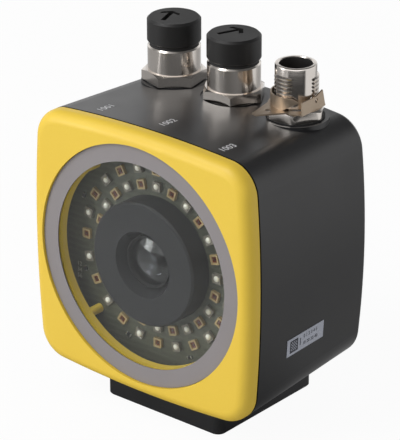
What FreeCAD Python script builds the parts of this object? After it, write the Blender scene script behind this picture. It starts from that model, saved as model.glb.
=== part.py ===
import FreeCAD, Part
import math
import os
from types import SimpleNamespace

import Sketcher

# Optical position reader: a square camera head that looks out through a round window in its
# front bezel, with three round connectors on top and a block foot to bolt it down by.
# The front faces -Y and the top +Z. The origin is the middle of the foot's underside.
# Pieces are drawn about the optical axis, with the front plane at y = 0, and then placed.

# Driving sizes, in millimetres and degrees.
SIZES = {
    # front bezel: a bulged square with a round window sunk into it
    "face_size": 73.0,
    "face_crown": 2.0,
    "face_corner": 8.5,
    "bezel_depth": 4.5,
    "bezel_edge": 3.1,
    "rim_width": 3.7,
    "spigot_length": 3.4,
    "spigot_wall": 1.5,
    "spigot_gap": 0.2,
    "post_radius": 1.25,
    "post_screw_radius": 0.65,
    "post_length": 4.2,
    # window and the grey gasket ring over its edge
    "gasket_sink": 0.75,
    "gasket_thickness": 0.3,
    "border_width": 4.8,
    "window_thickness": 1.0,
    "window_gap": 0.1,
    # housing: a drafted tub with a slightly domed back
    "body_depth": 51.4,
    "draft_angle": 2.24,
    "back_dome": 1.2,
    "back_edge": 1.2,
    "wall": 2.5,
    "back_wall": 4.5,
    "seam": 0.5,
    "seam_groove": 0.7,
    # light board behind the window
    "board_thickness": 1.6,
    "board_gap": 1.5,
    "led_size": 2.6,
    "led_height": 0.9,
    "led_bowl_radius": 0.95,
    "led_bowl_depth": 0.35,
    "led_margin": 3.8,
    "led_row_gap": 4.4,
    "resistor_length": 1.6,
    "resistor_width": 0.8,
    "resistor_height": 0.5,
    "resistor_margin": 0.7,
    # lens and its shroud
    "shroud_gap": 1.7,
    "shroud_wall": 1.4,
    "shroud_edge": 0.5,
    "shroud_clear": 0.2,
    "mouth_radius": 9.05,
    "throat_depth": 4.0,
    "throat_gap": 0.25,
    "barrel_radius": 7.1,
    "barrel_sink": 2.2,
    "barrel_head": 8.0,
    "barrel_thread": 6.0,
    "barrel_rim": 0.4,
    "lens_seat": 2.4,
    "lens_dome": 1.5,
    "lens_ring_width": 0.4,
    "lens_ring_thickness": 0.8,
    "light_bore": 3.8,
    "rear_lens_radius": 4.6,
    "rear_lens_thickness": 2.0,
    "holder_side": 19.0,
    "holder_thread_length": 4.8,
    # board stack behind the light board
    "stack_gap": 2.4,
    "stack_inset": 3.5,
    "front_spacer": 11.4,
    "spacer_radius": 2.4,
    "stud_radius": 1.2,
    "stud_length": 6.0,
    "stud_gap": 0.15,
    "stack_clear": 3.0,
    "sensor_side": 9.0,
    "sensor_height": 1.3,
    "sensor_gap": 1.2,
    "chip_side": 13.0,
    "chip_height": 1.4,
    "memory_side": 8.0,
    "chip_margin": 3.0,
    "chip_gap": 2.1,
    "screw_head_radius": 2.1,
    "screw_head_height": 1.6,
    # ports on top
    "port_edge": 6.2,
    "port_gap": 0.9,
    "seat_drop": 1.5,
    "boss_margin": 0.1,
    "boss_height": 4.0,
    "port_depth": 10.0,
    "stem_radius": 6.0,
    "stem_length": 8.0,
    "stem_gap": 0.25,
    "nut_height": 2.6,
    "nut_rim": 2.0,
    "port_seal_radius": 7.6,
    "port_seal_thickness": 0.3,
    "hex_across": 15.0,
    "hex_height": 2.9,
    "hex_chamfer": 0.6,
    "shell_radius": 7.0,
    "shell_height": 6.7,
    "shell_chamfer": 0.4,
    "socket_bore": 5.55,
    "socket_bore_depth": 7.5,
    "insert_radius": 4.6,
    "insert_nose": 4.1,
    "insert_sink": 0.9,
    "contact_radius": 0.5,
    "contact_circle": 2.4,
    "contact_tail": 1.0,
    "contact_board_front": 6.8,
    "contact_board_gap": 1.6,
    "header_gap": 1.0,
    # protective caps
    "cap_radius": 7.1,
    "cap_height": 6.85,
    "cap_edge": 0.6,
    "cap_neck_radius": 6.45,
    "cap_neck": 0.1,
    "cap_stud_gap": 0.3,
    "cap_stud_wall": 0.75,
    "cap_stud_length": 5.2,
    "cap_seal_thickness": 0.5,
    "cap_seal_gap": 0.05,
    "slot_width": 1.3,
    "slot_shift": 1.6,
    "slot_tip": 3.6,
    "slot_tail": 3.9,
    "slot_arm": 2.6,
    "slot_sweep": 1.5,
    "slot_depth": 1.2,
    # main plug and its earth clip
    "plug_hex_across": 14.0,
    "plug_hex_height": 2.7,
    "plug_thread": 5.95,
    "plug_thread_length": 8.45,
    "plug_nose": 5.2,
    "plug_nose_length": 2.85,
    "plug_bore": 4.25,
    "plug_floor": 1.0,
    "pin_sink": 3.2,
    "clip_thickness": 0.4,
    "clip_gap": 0.15,
    "clip_band": 1.0,
    "clip_tip": 13.2,
    "clip_tip_half": 0.8,
    "clip_hole": 0.75,
    "clip_hole_inset": 4.4,
    "clip_ear_front": 6.0,
    "clip_ear_back": 3.9,
    "clip_ear_peak": 2.7,
    "clip_ear_low": 3.6,
    "clip_ear_high": 4.6,
    "clip_ear_hole": 0.6,
    "clip_ear_hole_inset": 1.1,
    # key panel in the back
    "key_standoff": 3.4,
    "key_board_width": 44.0,
    "key_board_height": 26.0,
    "key_board_drop": 8.0,
    "key_boss_radius": 2.4,
    "key_boss_inset": 3.0,
    "key_screw_radius": 0.9,
    "button_radius": 3.2,
    "button_spread": 9.0,
    "button_drop": 14.0,
    "button_gap": 0.25,
    "button_flange": 1.1,
    "button_flange_thickness": 1.0,
    "button_proud": 0.7,
    "switch_side": 4.6,
    "switch_height": 1.2,
    "guide_radius": 1.0,
    "guide_flange": 0.5,
    "guide_pitch": 5.0,
    "guide_inset": 5.0,
    "guide_sink": 0.4,
    "status_led_side": 1.2,
    "status_led_height": 0.8,
    # foot
    "foot_width": 39.2,
    "foot_depth": 39.2,
    "foot_front": 9.0,
    "foot_drop": 9.15,
    "foot_sink": 0.1,
    "foot_corner": 2.5,
    "foot_edge": 0.3,
    "pad_inset": 1.0,
    "pad_height": 3.5,
    "foot_screw_spread": 24.0,
    "foot_screw_radius": 2.0,
    "foot_screw_head": 3.5,
    "foot_screw_head_height": 4.0,
    "foot_screw_sink": 0.6,
    "foot_screw_length": 12.0,
    "foot_screw_gap": 0.2,
    "foot_boss_radius": 4.2,
    "foot_boss_height": 9.0,
    "mount_spacing": 25.0,
    "mount_hole": 1.65,
    "mount_hole_depth": 7.0,
    # label on the right side
    "label_front": 16.5,
    "label_length": 15.7,
    "label_drop": 18.2,
    "label_height": 4.8,
    "label_thickness": 0.12,
}
LEDS_PER_COLOUR = 12
RESISTORS = 8
STATUS_LIGHTS = 7
CONTACTS = 5
FULL_TURN = 360.0
LED_STEP = FULL_TURN / (2 * LEDS_PER_COLOUR)
POST_ANGLES = (45.0, 135.0, 225.0, 315.0)
HEX_TURNS = {"1": 41.5, "2": 3.0, "main": 3.0}
SLOT_TURNS = {"1": 20.0, "2": -21.5}
CLIP_EAR_TURN = 2.0
CLIP_TAB_TURN = -106.0

FRONT = "XZ_Plane"
TOP = "XY_Plane"
SIDE = "YZ_Plane"


class Size:
    """A number together with the spreadsheet expression that drives it."""

    def __init__(self, value, text):
        self.value = value
        self.text = text

    def __add__(self, other):
        other = as_size(other)
        return Size(self.value + other.value, f"({self.text} + {other.text})")

    def __sub__(self, other):
        other = as_size(other)
        return Size(self.value - other.value, f"({self.text} - {other.text})")

    def __mul__(self, other):
        other = as_size(other)
        return Size(self.value * other.value, f"({self.text} * {other.text})")

    def __truediv__(self, other):
        other = as_size(other)
        return Size(self.value / other.value, f"({self.text} / {other.text})")

    def __neg__(self):
        return Size(-self.value, f"(0 - {self.text})")


def as_size(thing):
    if isinstance(thing, Size):
        return thing
    number = float(thing)
    return Size(number, f"{number:.9f}" if number >= 0 else f"(0 - {-number:.9f})")


def tangent(angle):
    return Size(math.tan(math.radians(angle.value)), f"tan({angle.text})")


def bind(item, path, size):
    item.setExpression(path, as_size(size).text)


doc = FreeCAD.newDocument("position_reader")
sheet = doc.addObject("Spreadsheet::Sheet", "Sizes")
for row, (size_name, number) in enumerate(SIZES.items(), start=1):
    sheet.set(f"A{row}", size_name)
    sheet.set(f"B{row}", str(number))
    sheet.setAlias(f"B{row}", size_name)
doc.recompute()
s = SimpleNamespace(**{name: Size(number, f"Sizes.{name}") for name, number in SIZES.items()})

# Sizes that follow from the driving ones.
half = s.face_size / 2
crown_radius = (half * half + s.face_crown * s.face_crown) / (s.face_crown * 2)
dome_radius = (half * half + s.back_dome * s.back_dome) / (s.back_dome * 2)
body_front = s.bezel_depth + s.seam
body_floor = s.body_depth - s.back_wall
window_radius = half - s.rim_width
bore_radius = window_radius - s.border_width
gasket_back = s.gasket_sink + s.gasket_thickness
window_back = gasket_back + s.window_thickness
board_front = s.bezel_depth + s.post_length
board_back = board_front + s.board_thickness
post_circle = bore_radius + s.post_radius
outer_ring = bore_radius - s.led_margin
inner_ring = outer_ring - s.led_row_gap
shroud_radius = inner_ring - s.led_size / 2 - s.shroud_gap
shroud_front = window_back + s.shroud_clear
barrel_front = shroud_front + s.barrel_sink
barrel_shoulder = barrel_front + s.barrel_head
camera_front = board_back + s.front_spacer
barrel_rear = camera_front - s.sensor_height - s.sensor_gap
camera_back = camera_front + s.board_thickness
key_rear = body_floor - s.key_standoff
key_front = key_rear - s.board_thickness
processor_back = key_front - s.stack_clear - s.screw_head_height
processor_front = processor_back - s.board_thickness
boss_radius = s.hex_across / math.sqrt(3) + s.boss_margin
port_pitch = (s.face_size - s.port_edge * 2) / len(HEX_TURNS)
port_y = body_floor - s.hex_across / 2 - s.port_gap
seat_height = half - s.seat_drop
contact_board_top = seat_height - s.port_depth
contact_board_bottom = contact_board_top - s.board_thickness
stack_half = contact_board_bottom - s.contact_tail - s.stack_gap
spacer_place = stack_half - s.stack_inset
socket_rim = s.port_seal_thickness + s.hex_height + s.shell_height
plug_hex_top = s.port_seal_thickness + s.plug_hex_height
plug_thread_end = plug_hex_top + s.plug_thread_length
plug_rim = plug_thread_end + s.plug_nose_length
plug_bore_floor = plug_hex_top + s.plug_floor
foot_middle = s.foot_front + s.foot_depth / 2
axis_height = half + s.foot_drop
foot_seat = half - s.foot_sink


def vector(x, y):
    return FreeCAD.Vector(as_size(x).value, as_size(y).value, 0)


def new_body(name, x=0, y=0, z=0, turn=0):
    """Starts a piece whose own origin stands at this point of the optical frame."""
    body = doc.addObject("PartDesign::Body", name)
    bind(body, "Placement.Base.x", x)
    bind(body, "Placement.Base.y", as_size(y) - foot_middle)
    bind(body, "Placement.Base.z", as_size(z) + axis_height)
    bind(body, "Placement.Rotation.Angle", turn)
    return body


def origin_plane(body, role):
    for item in body.Origin.OriginFeatures:
        if item.Role == role:
            return item
    raise RuntimeError(f"{body.Name} has no {role}")


def new_sketch(body, name, role, offset=0, turn=0):
    """Starts a sketch beyond an origin plane of the body, by offset along the plane's normal."""
    sketch = body.newObject("Sketcher::SketchObject", f"{body.Name}_{name}")
    sketch.AttachmentSupport = (origin_plane(body, role), [""])
    sketch.MapMode = "FlatFace"
    bind(sketch, "AttachmentOffset.Base.z", offset)
    bind(sketch, "AttachmentOffset.Rotation.Angle", turn)
    return sketch


def pin_point(sketch, curve, point, x, y):
    for kind, size in (("DistanceX", as_size(x)), ("DistanceY", as_size(y))):
        index = sketch.addConstraint(Sketcher.Constraint(kind, -1, 1, curve, point, size.value))
        bind(sketch, f"Constraints[{index}]", size)


def set_radius(sketch, curve, radius):
    index = sketch.addConstraint(Sketcher.Constraint("Radius", curve, as_size(radius).value))
    bind(sketch, f"Constraints[{index}]", radius)


def polygon(sketch, corners):
    """Closes straight lines through the corners, each corner held by its own two sizes."""
    first = sketch.GeometryCount
    count = len(corners)
    for start, end in zip(corners, corners[1:] + corners[:1]):
        sketch.addGeometry(Part.LineSegment(vector(*start), vector(*end)))
    for i in range(count):
        following = first + (i + 1) % count
        sketch.addConstraint(Sketcher.Constraint("Coincident", first + i, 2, following, 1))
    for i, (x, y) in enumerate(corners):
        pin_point(sketch, first + i, 1, x, y)


def rectangle(sketch, x, y, width, height):
    """Draws a rectangle about its middle."""
    x, y = as_size(x), as_size(y)
    right, up = as_size(width) / 2, as_size(height) / 2
    polygon(sketch, [(x - right, y - up), (x + right, y - up), (x + right, y + up), (x - right, y + up)])


def circle(sketch, x, y, radius):
    round_line = Part.Circle(vector(x, y), FreeCAD.Vector(0, 0, 1), as_size(radius).value)
    curve = sketch.addGeometry(round_line)
    pin_point(sketch, curve, 3, x, y)
    set_radius(sketch, curve, radius)


def circles(sketch, places, radius):
    for x, y in places:
        circle(sketch, x, y, radius)


def arc(sketch, x, y, radius, start, end):
    round_line = Part.Circle(vector(x, y), FreeCAD.Vector(0, 0, 1), as_size(radius).value)
    curve = sketch.addGeometry(Part.ArcOfCircle(round_line, start, end))
    set_radius(sketch, curve, radius)
    return curve


def crowned_outline(sketch, inset, corner_radius):
    """Draws the bulged square that bezel, gasket and housing share, set in from the face's side."""
    side_radius = crown_radius - inset
    setback = crown_radius - half
    reach = side_radius.value - corner_radius.value
    corner = (math.sqrt(2 * reach ** 2 - setback.value ** 2) - setback.value) / 2
    spread = math.atan2(corner, corner + setback.value)
    quarter = math.pi / 2
    side_centres = [(-setback, 0), (0, -setback), (setback, 0), (0, setback)]
    corner_signs = [(1, 1), (-1, 1), (-1, -1), (1, -1)]
    curves = []
    for i, ((x, y), (right, up)) in enumerate(zip(side_centres, corner_signs)):
        turn = i * quarter
        side = arc(sketch, x, y, side_radius, turn - spread, turn + spread)
        pin_point(sketch, side, 3, x, y)
        curves.append(side)
        start, end = turn + spread, turn + quarter - spread
        curves.append(arc(sketch, right * corner, up * corner, corner_radius, start, end))
    for this, following in zip(curves, curves[1:] + curves[:1]):
        sketch.addConstraint(Sketcher.Constraint("Tangent", this, 2, following, 1))


def rounded_rectangle(sketch, x, y, width, depth, radius):
    """Draws a rectangle with round corners about its middle."""
    x, y = as_size(x), as_size(y)
    right, up, radius = as_size(width) / 2, as_size(depth) / 2, as_size(radius)
    low_x, high_x, low_y, high_y = x - right, x + right, y - up, y + up
    quarter = math.pi / 2
    sides = [
        ((low_x + radius, low_y), (high_x - radius, low_y)),
        ((high_x, low_y + radius), (high_x, high_y - radius)),
        ((high_x - radius, high_y), (low_x + radius, high_y)),
        ((low_x, high_y - radius), (low_x, low_y + radius)),
    ]
    centres = [
        (high_x - radius, low_y + radius),
        (high_x - radius, high_y - radius),
        (low_x + radius, high_y - radius),
        (low_x + radius, low_y + radius),
    ]
    curves = []
    for i, ((start, end), centre) in enumerate(zip(sides, centres)):
        line = sketch.addGeometry(Part.LineSegment(vector(*start), vector(*end)))
        pin_point(sketch, line, 1, *start)
        pin_point(sketch, line, 2, *end)
        curves.append(line)
        curves.append(arc(sketch, *centre, radius, (i - 1) * quarter, i * quarter))
    for this, following in zip(curves, curves[1:] + curves[:1]):
        sketch.addConstraint(Sketcher.Constraint("Coincident", this, 2, following, 1))


def volume_of(body):
    doc.recompute()
    return 0.0 if body.Shape.isNull() else body.Shape.Volume


def pad(body, name, sketch, length, back=False, taper=0):
    """Adds material along the sketch's normal, or against it."""
    feature = body.newObject("PartDesign::Pad", f"{body.Name}_{name}")
    feature.Profile = sketch
    feature.Reversed = back
    bind(feature, "Length", length)
    bind(feature, "TaperAngle", taper)
    doc.recompute()
    return feature


def cut(body, name, sketch, depth, outward=False, taper=0):
    """Takes material away against the sketch's normal, or along it."""
    before = volume_of(body)
    feature = body.newObject("PartDesign::Pocket", f"{body.Name}_{name}")
    feature.Profile = sketch
    feature.Reversed = outward
    bind(feature, "Length", depth)
    bind(feature, "TaperAngle", taper)
    if volume_of(body) >= before:
        raise RuntimeError(f"{feature.Name} cuts nothing")
    return feature


def turned(body, name, role, corners):
    """Turns a profile of (radius, place along the axis) corners about the sketch's vertical."""
    sketch = new_sketch(body, f"{name}_profile", role)
    polygon(sketch, corners)
    feature = body.newObject("PartDesign::Revolution", f"{body.Name}_{name}")
    feature.Profile = sketch
    feature.ReferenceAxis = (sketch, ["V_Axis"])
    doc.recompute()
    return feature


def turned_cut(body, name, sketch):
    before = volume_of(body)
    feature = body.newObject("PartDesign::Groove", f"{body.Name}_{name}")
    feature.Profile = sketch
    feature.ReferenceAxis = (sketch, ["V_Axis"])
    if volume_of(body) >= before:
        raise RuntimeError(f"{feature.Name} cuts nothing")
    return feature


def bored(body, name, role, corners):
    """Cuts a turned profile of (radius, place along the axis) corners."""
    sketch = new_sketch(body, f"{name}_profile", role)
    polygon(sketch, corners)
    return turned_cut(body, name, sketch)


def around(body, name, features, sketch, count):
    """Repeats features round the sketch's normal."""
    pattern = body.newObject("PartDesign::PolarPattern", f"{body.Name}_{name}")
    pattern.Originals = features
    pattern.Axis = (sketch, ["N_Axis"])
    pattern.Angle = FULL_TURN
    pattern.Occurrences = count
    body.Tip = pattern
    doc.recompute()
    return pattern


def edges_where(feature, test):
    """Names the edges of a feature's shape that pass a test on their middle point."""
    names = []
    for i, edge in enumerate(feature.Shape.Edges, start=1):
        middle = edge.valueAt((edge.FirstParameter + edge.LastParameter) / 2)
        if test(middle):
            names.append(f"Edge{i}")
    return names


def rounded(body, name, feature, test, radius):
    fillet = body.newObject("PartDesign::Fillet", f"{body.Name}_{name}")
    fillet.Base = (feature, edges_where(feature, test))
    bind(fillet, "Radius", radius)
    doc.recompute()
    return fillet


def bevelled(body, name, feature, test, size):
    chamfer = body.newObject("PartDesign::Chamfer", f"{body.Name}_{name}")
    chamfer.Base = (feature, edges_where(feature, test))
    bind(chamfer, "Size", size)
    doc.recompute()
    return chamfer


def on_circle(radius, angle):
    """Gives a point of the front plane at this radius and angle."""
    turn = math.radians(angle)
    return radius * math.cos(turn), radius * math.sin(turn)


def near(value, size):
    tolerance = 1e-3
    return abs(value - as_size(size).value) < tolerance


def square_places(x, y):
    return [(-x, -y), (x, -y), (x, y), (-x, y)]


post_places = [on_circle(post_circle, angle) for angle in POST_ANGLES]
spacer_places = square_places(spacer_place, spacer_place)
port_places = {"1": -port_pitch, "2": as_size(0), "main": port_pitch}
button_places = {"1": -s.button_spread, "2": s.button_spread}
key_boss_place = s.key_board_width / 2 - s.key_boss_inset
key_boss_places = [(-key_boss_place, -s.key_board_drop), (key_boss_place, -s.key_board_drop)]
guide_row = s.key_board_height / 2 - s.key_board_drop - s.guide_inset
guide_places = [(s.guide_pitch * (i - STATUS_LIGHTS // 2), guide_row) for i in range(STATUS_LIGHTS)]
foot_screw_shift = s.foot_screw_spread / 2
foot_screw_places = [(0, foot_middle - foot_screw_shift), (0, foot_middle + foot_screw_shift)]


# Front bezel: moulded frame with a sunk window seat, a spigot that enters the housing and
# four posts that carry the light board.
def make_front_bezel():
    body = new_body("front_bezel")
    outline = new_sketch(body, "outline", FRONT)
    crowned_outline(outline, as_size(0), s.face_corner)
    block = pad(body, "block", outline, s.bezel_depth, back=True)
    rounded(body, "front_round", block, lambda p: near(p.y, 0), s.bezel_edge)
    seat = new_sketch(body, "window_seat", FRONT)
    circle(seat, 0, 0, window_radius + s.window_gap)
    cut(body, "window_recess", seat, window_back)
    bore = new_sketch(body, "bore_circle", FRONT)
    circle(bore, 0, 0, bore_radius)
    cut(body, "bore", bore, s.bezel_depth)
    spigot_inset = s.wall + s.spigot_gap
    spigot = new_sketch(body, "spigot_outline", FRONT, -s.bezel_depth)
    for inset in (spigot_inset, spigot_inset + s.spigot_wall):
        crowned_outline(spigot, inset, s.face_corner - inset)
    pad(body, "spigot", spigot, s.spigot_length, back=True)
    posts = new_sketch(body, "post_circles", FRONT, -s.bezel_depth)
    circles(posts, post_places, s.post_radius)
    pad(body, "posts", posts, s.post_length, back=True)
    holes = new_sketch(body, "post_holes", FRONT, -board_front)
    circles(holes, post_places, s.post_screw_radius)
    cut(body, "post_drill", holes, s.post_length, outward=True)
    return body


def make_bezel_gasket():
    body = new_body("bezel_gasket")
    outline = new_sketch(body, "outline", FRONT, -s.bezel_depth)
    for inset in (s.seam_groove, s.wall):
        crowned_outline(outline, inset, s.face_corner - inset)
    pad(body, "strip", outline, s.seam, back=True)
    return body


def make_window():
    body = new_body("window")
    turned(body, "disc", TOP, [(0, gasket_back), (window_radius, gasket_back),
                               (window_radius, window_back), (0, window_back)])
    return body


def make_window_gasket():
    body = new_body("window_gasket")
    turned(body, "ring", TOP, [(bore_radius, s.gasket_sink), (window_radius, s.gasket_sink),
                               (window_radius, gasket_back), (bore_radius, gasket_back)])
    return body


# Housing: one moulded tub, drafted towards its domed back, with flat seats for the ports,
# a flat pad under the foot, and holes for the keys and lights of the back panel.
def make_housing():
    body = new_body("housing")
    drafted(body, "tub", "AdditiveLoft", as_size(0), s.body_depth)
    cut_dome(body)
    dome = doc.getObject("housing_dome")
    rounded(body, "back_round", dome, lambda p: on_dome_edge(p), s.back_edge)
    drafted(body, "cavity", "SubtractiveLoft", s.wall, body_floor)
    add_port_seats(body)
    add_foot_pad(body)
    add_key_panel(body)
    return body


def drafted(body, name, kind, inset, back):
    """Lofts the bulged square from the seam to this depth, smaller with the draft as it goes."""
    narrowing = (back - body_front) * tangent(s.draft_angle)
    sections = []
    for end, depth, along in (("front", body_front, inset), ("back", back, inset + narrowing)):
        section = new_sketch(body, f"{name}_{end}", FRONT, -depth)
        crowned_outline(section, along, s.face_corner - inset)
        sections.append(section)
    before = volume_of(body)
    feature = body.newObject(f"PartDesign::{kind}", f"{body.Name}_{name}")
    feature.Profile = sections[0]
    feature.Sections = sections[1:]
    feature.Ruled = True
    if near(volume_of(body), before):
        raise RuntimeError(f"{feature.Name} changes nothing")
    return feature


def cut_dome(body):
    """Turns the back to a shallow dome about the optical axis."""
    sketch = new_sketch(body, "dome_profile", TOP)
    reach = s.face_size
    past = s.body_depth + s.back_dome
    centre = s.body_depth - dome_radius
    swing = math.asin(reach.value / dome_radius.value)
    quarter = math.pi / 2
    curve = arc(sketch, 0, centre, dome_radius, quarter - swing, quarter)
    pin_point(sketch, curve, 3, 0, centre)
    rim_y = centre.value + dome_radius.value * math.cos(swing)
    rim, corner = vector(reach, rim_y), vector(reach, past)
    middle, apex = vector(0, past), vector(0, s.body_depth)
    lines = [sketch.addGeometry(Part.LineSegment(a, b))
             for a, b in ((apex, middle), (middle, corner), (corner, rim))]
    chain = [curve] + lines
    for this, following in zip(chain, chain[1:] + chain[:1]):
        sketch.addConstraint(Sketcher.Constraint("Coincident", this, 2, following, 1))
    sketch.addConstraint(Sketcher.Constraint("Vertical", lines[0]))
    pin_point(sketch, lines[1], 1, 0, past)
    pin_point(sketch, lines[2], 1, reach, past)
    sketch.addConstraint(Sketcher.Constraint("Vertical", lines[2]))
    turned_cut(body, "dome", sketch)


def on_dome_edge(point):
    """Tells whether a point of the housing lies on the rim of its domed back."""
    radius = dome_radius.value
    centre = s.body_depth.value - radius
    from_axis = math.hypot(point.x, point.z)
    return near(math.hypot(from_axis, point.y - centre), radius)


def add_port_seats(body):
    places = [(x, port_y) for x in port_places.values()]
    seats = new_sketch(body, "seat_circles", TOP, seat_height)
    circles(seats, places, boss_radius)
    pad(body, "seats", seats, s.boss_height, back=True)
    faces = new_sketch(body, "spot_circles", TOP, seat_height)
    circles(faces, places, boss_radius)
    cut(body, "spot_faces", faces, s.seat_drop, outward=True)
    holes = new_sketch(body, "port_circles", TOP, seat_height)
    circles(holes, places, s.stem_radius + s.stem_gap)
    cut(body, "port_holes", holes, s.boss_height)


def add_foot_pad(body):
    plate = new_sketch(body, "foot_pad_outline", TOP, -foot_seat)
    rounded_rectangle(plate, 0, foot_middle, s.foot_width - s.pad_inset * 2,
                      s.foot_depth - s.pad_inset * 2, s.foot_corner)
    pad(body, "foot_pad", plate, s.pad_height)
    bosses = new_sketch(body, "foot_boss_circles", TOP, -foot_seat)
    circles(bosses, foot_screw_places, s.foot_boss_radius)
    pad(body, "foot_bosses", bosses, s.foot_boss_height)
    holes = new_sketch(body, "foot_screw_circles", TOP, -foot_seat)
    circles(holes, foot_screw_places, s.foot_screw_radius)
    cut(body, "foot_screw_holes", holes, s.foot_boss_height, outward=True)


def add_key_panel(body):
    bosses = new_sketch(body, "key_boss_circles", FRONT, -key_rear)
    circles(bosses, key_boss_places, s.key_boss_radius)
    pad(body, "key_bosses", bosses, s.key_standoff + s.back_wall / 2, back=True)
    screws = new_sketch(body, "key_screw_circles", FRONT, -key_rear)
    circles(screws, key_boss_places, s.key_screw_radius)
    cut(body, "key_screw_holes", screws, s.key_standoff)
    keys = new_sketch(body, "key_circles", FRONT, -s.body_depth)
    circles(keys, [(x, -s.button_drop) for x in button_places.values()], s.button_radius + s.button_gap)
    cut(body, "key_holes", keys, s.back_wall, outward=True)
    lights = new_sketch(body, "light_circles", FRONT, -s.body_depth)
    circles(lights, guide_places, s.guide_radius)
    cut(body, "light_holes", lights, s.back_wall, outward=True)


# Light board: round circuit board with two rings of lamps, in two colours turn about.
def make_led_board():
    body = new_body("led_board")
    outline = new_sketch(body, "outline", FRONT, -board_front)
    circle(outline, 0, 0, half - s.wall - s.board_gap)
    circle(outline, 0, 0, s.barrel_radius + s.throat_gap)
    circles(outline, post_places, s.post_screw_radius + s.stud_gap)
    pad(body, "plate", outline, s.board_thickness, back=True)
    return body


def make_led_board_screws():
    body = new_body("led_board_screws")
    heads = new_sketch(body, "head_circles", FRONT, -board_back)
    circles(heads, post_places, s.post_radius)
    pad(body, "heads", heads, s.screw_head_height, back=True)
    shanks = new_sketch(body, "shank_circles", FRONT, -board_back)
    circles(shanks, post_places, s.post_screw_radius)
    pad(body, "shanks", shanks, s.board_thickness + s.post_length / 2)
    return body


def make_leds(name, outer_turn, inner_turn):
    """Makes one colour of lamp: a square package with a round bowl, on both rings."""
    body = new_body(name)
    rings = (("outer", outer_ring, outer_turn), ("inner", inner_ring, inner_turn))
    for ring_name, radius, turn in rings:
        square = new_sketch(body, f"{ring_name}_square", FRONT, -board_front, turn)
        rectangle(square, radius, 0, s.led_size, s.led_size)
        package = pad(body, f"{ring_name}_package", square, s.led_height)
        bowl = new_sketch(body, f"{ring_name}_bowl_circle", FRONT, s.led_height - board_front, turn)
        circle(bowl, radius, 0, s.led_bowl_radius)
        hollow = cut(body, f"{ring_name}_bowl", bowl, s.led_bowl_depth)
        around(body, f"{ring_name}_ring", [package, hollow], square, LEDS_PER_COLOUR)
    return body


def make_led_resistors():
    body = new_body("led_resistors")
    square = new_sketch(body, "outline", FRONT, -board_front, LED_STEP * 1.5)
    rectangle(square, bore_radius - s.resistor_margin, 0, s.resistor_width, s.resistor_length)
    chip = pad(body, "chip", square, s.resistor_height)
    around(body, "ring", [chip], square, RESISTORS)
    return body


# Lens: a moulded shroud keeps the lamps' light out of a screwed-in lens barrel.
def make_lens_shroud():
    body = new_body("lens_shroud")
    throat = s.barrel_radius + s.throat_gap
    throat_end = shroud_front + s.throat_depth
    inner = shroud_radius - s.shroud_wall
    behind = shroud_front + s.shroud_wall
    turned(body, "ring", TOP, [
        (shroud_radius, board_front),
        (shroud_radius, shroud_front + s.shroud_edge),
        (shroud_radius - s.shroud_edge, shroud_front),
        (s.mouth_radius, shroud_front),
        (throat, throat_end),
        (throat + s.shroud_wall, throat_end),
        (s.mouth_radius + s.shroud_wall, behind),
        (inner, behind),
        (inner, board_front),
    ])
    return body


def make_lens_barrel():
    body = new_body("lens_barrel")
    seat = s.barrel_radius - s.barrel_rim
    seat_end = barrel_front + s.lens_seat
    rear_seat = barrel_rear - s.rear_lens_thickness
    turned(body, "tube", TOP, [
        (seat, barrel_front),
        (s.barrel_radius, barrel_front),
        (s.barrel_radius, barrel_shoulder),
        (s.barrel_thread, barrel_shoulder),
        (s.barrel_thread, barrel_rear),
        (s.rear_lens_radius, barrel_rear),
        (s.rear_lens_radius, rear_seat),
        (s.light_bore, rear_seat),
        (s.light_bore, seat_end),
        (seat, seat_end),
    ])
    return body


def make_lens_ring():
    body = new_body("lens_ring")
    outer = s.barrel_radius - s.barrel_rim
    inner = outer - s.lens_ring_width
    back = barrel_front + s.lens_ring_thickness
    turned(body, "ring", TOP, [(outer, barrel_front), (outer, back), (inner, back)])
    return body


def make_front_lens():
    body = new_body("front_lens")
    edge = s.barrel_radius - s.barrel_rim
    clear = edge - s.lens_ring_width
    front = barrel_front + s.lens_ring_thickness
    back = barrel_front + s.lens_seat
    turned(body, "disc", TOP, [(0, front), (edge, front), (edge, back), (0, back)])
    sketch = new_sketch(body, "dome_profile", TOP)
    radius = (clear * clear + s.lens_dome * s.lens_dome) / (s.lens_dome * 2)
    centre = front - s.lens_dome + radius
    swing = math.asin(clear.value / radius.value)
    quarter = math.pi / 2
    curve = arc(sketch, 0, centre, radius, -quarter, swing - quarter)
    pin_point(sketch, curve, 3, 0, centre)
    flat = sketch.addGeometry(Part.LineSegment(vector(clear, front), vector(0, front)))
    spine = sketch.addGeometry(Part.LineSegment(vector(0, front), vector(0, front - s.lens_dome)))
    chain = [curve, flat, spine]
    for this, following in zip(chain, chain[1:] + chain[:1]):
        sketch.addConstraint(Sketcher.Constraint("Coincident", this, 2, following, 1))
    sketch.addConstraint(Sketcher.Constraint("Horizontal", flat))
    pin_point(sketch, flat, 2, 0, front)
    sketch.addConstraint(Sketcher.Constraint("Vertical", spine))
    dome = body.newObject("PartDesign::Revolution", "front_lens_dome")
    dome.Profile = sketch
    dome.ReferenceAxis = (sketch, ["V_Axis"])
    doc.recompute()
    return body


def make_rear_lens():
    body = new_body("rear_lens")
    front = barrel_rear - s.rear_lens_thickness
    turned(body, "disc", TOP, [(0, front), (s.rear_lens_radius, front),
                               (s.rear_lens_radius, barrel_rear), (0, barrel_rear)])
    return body


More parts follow.
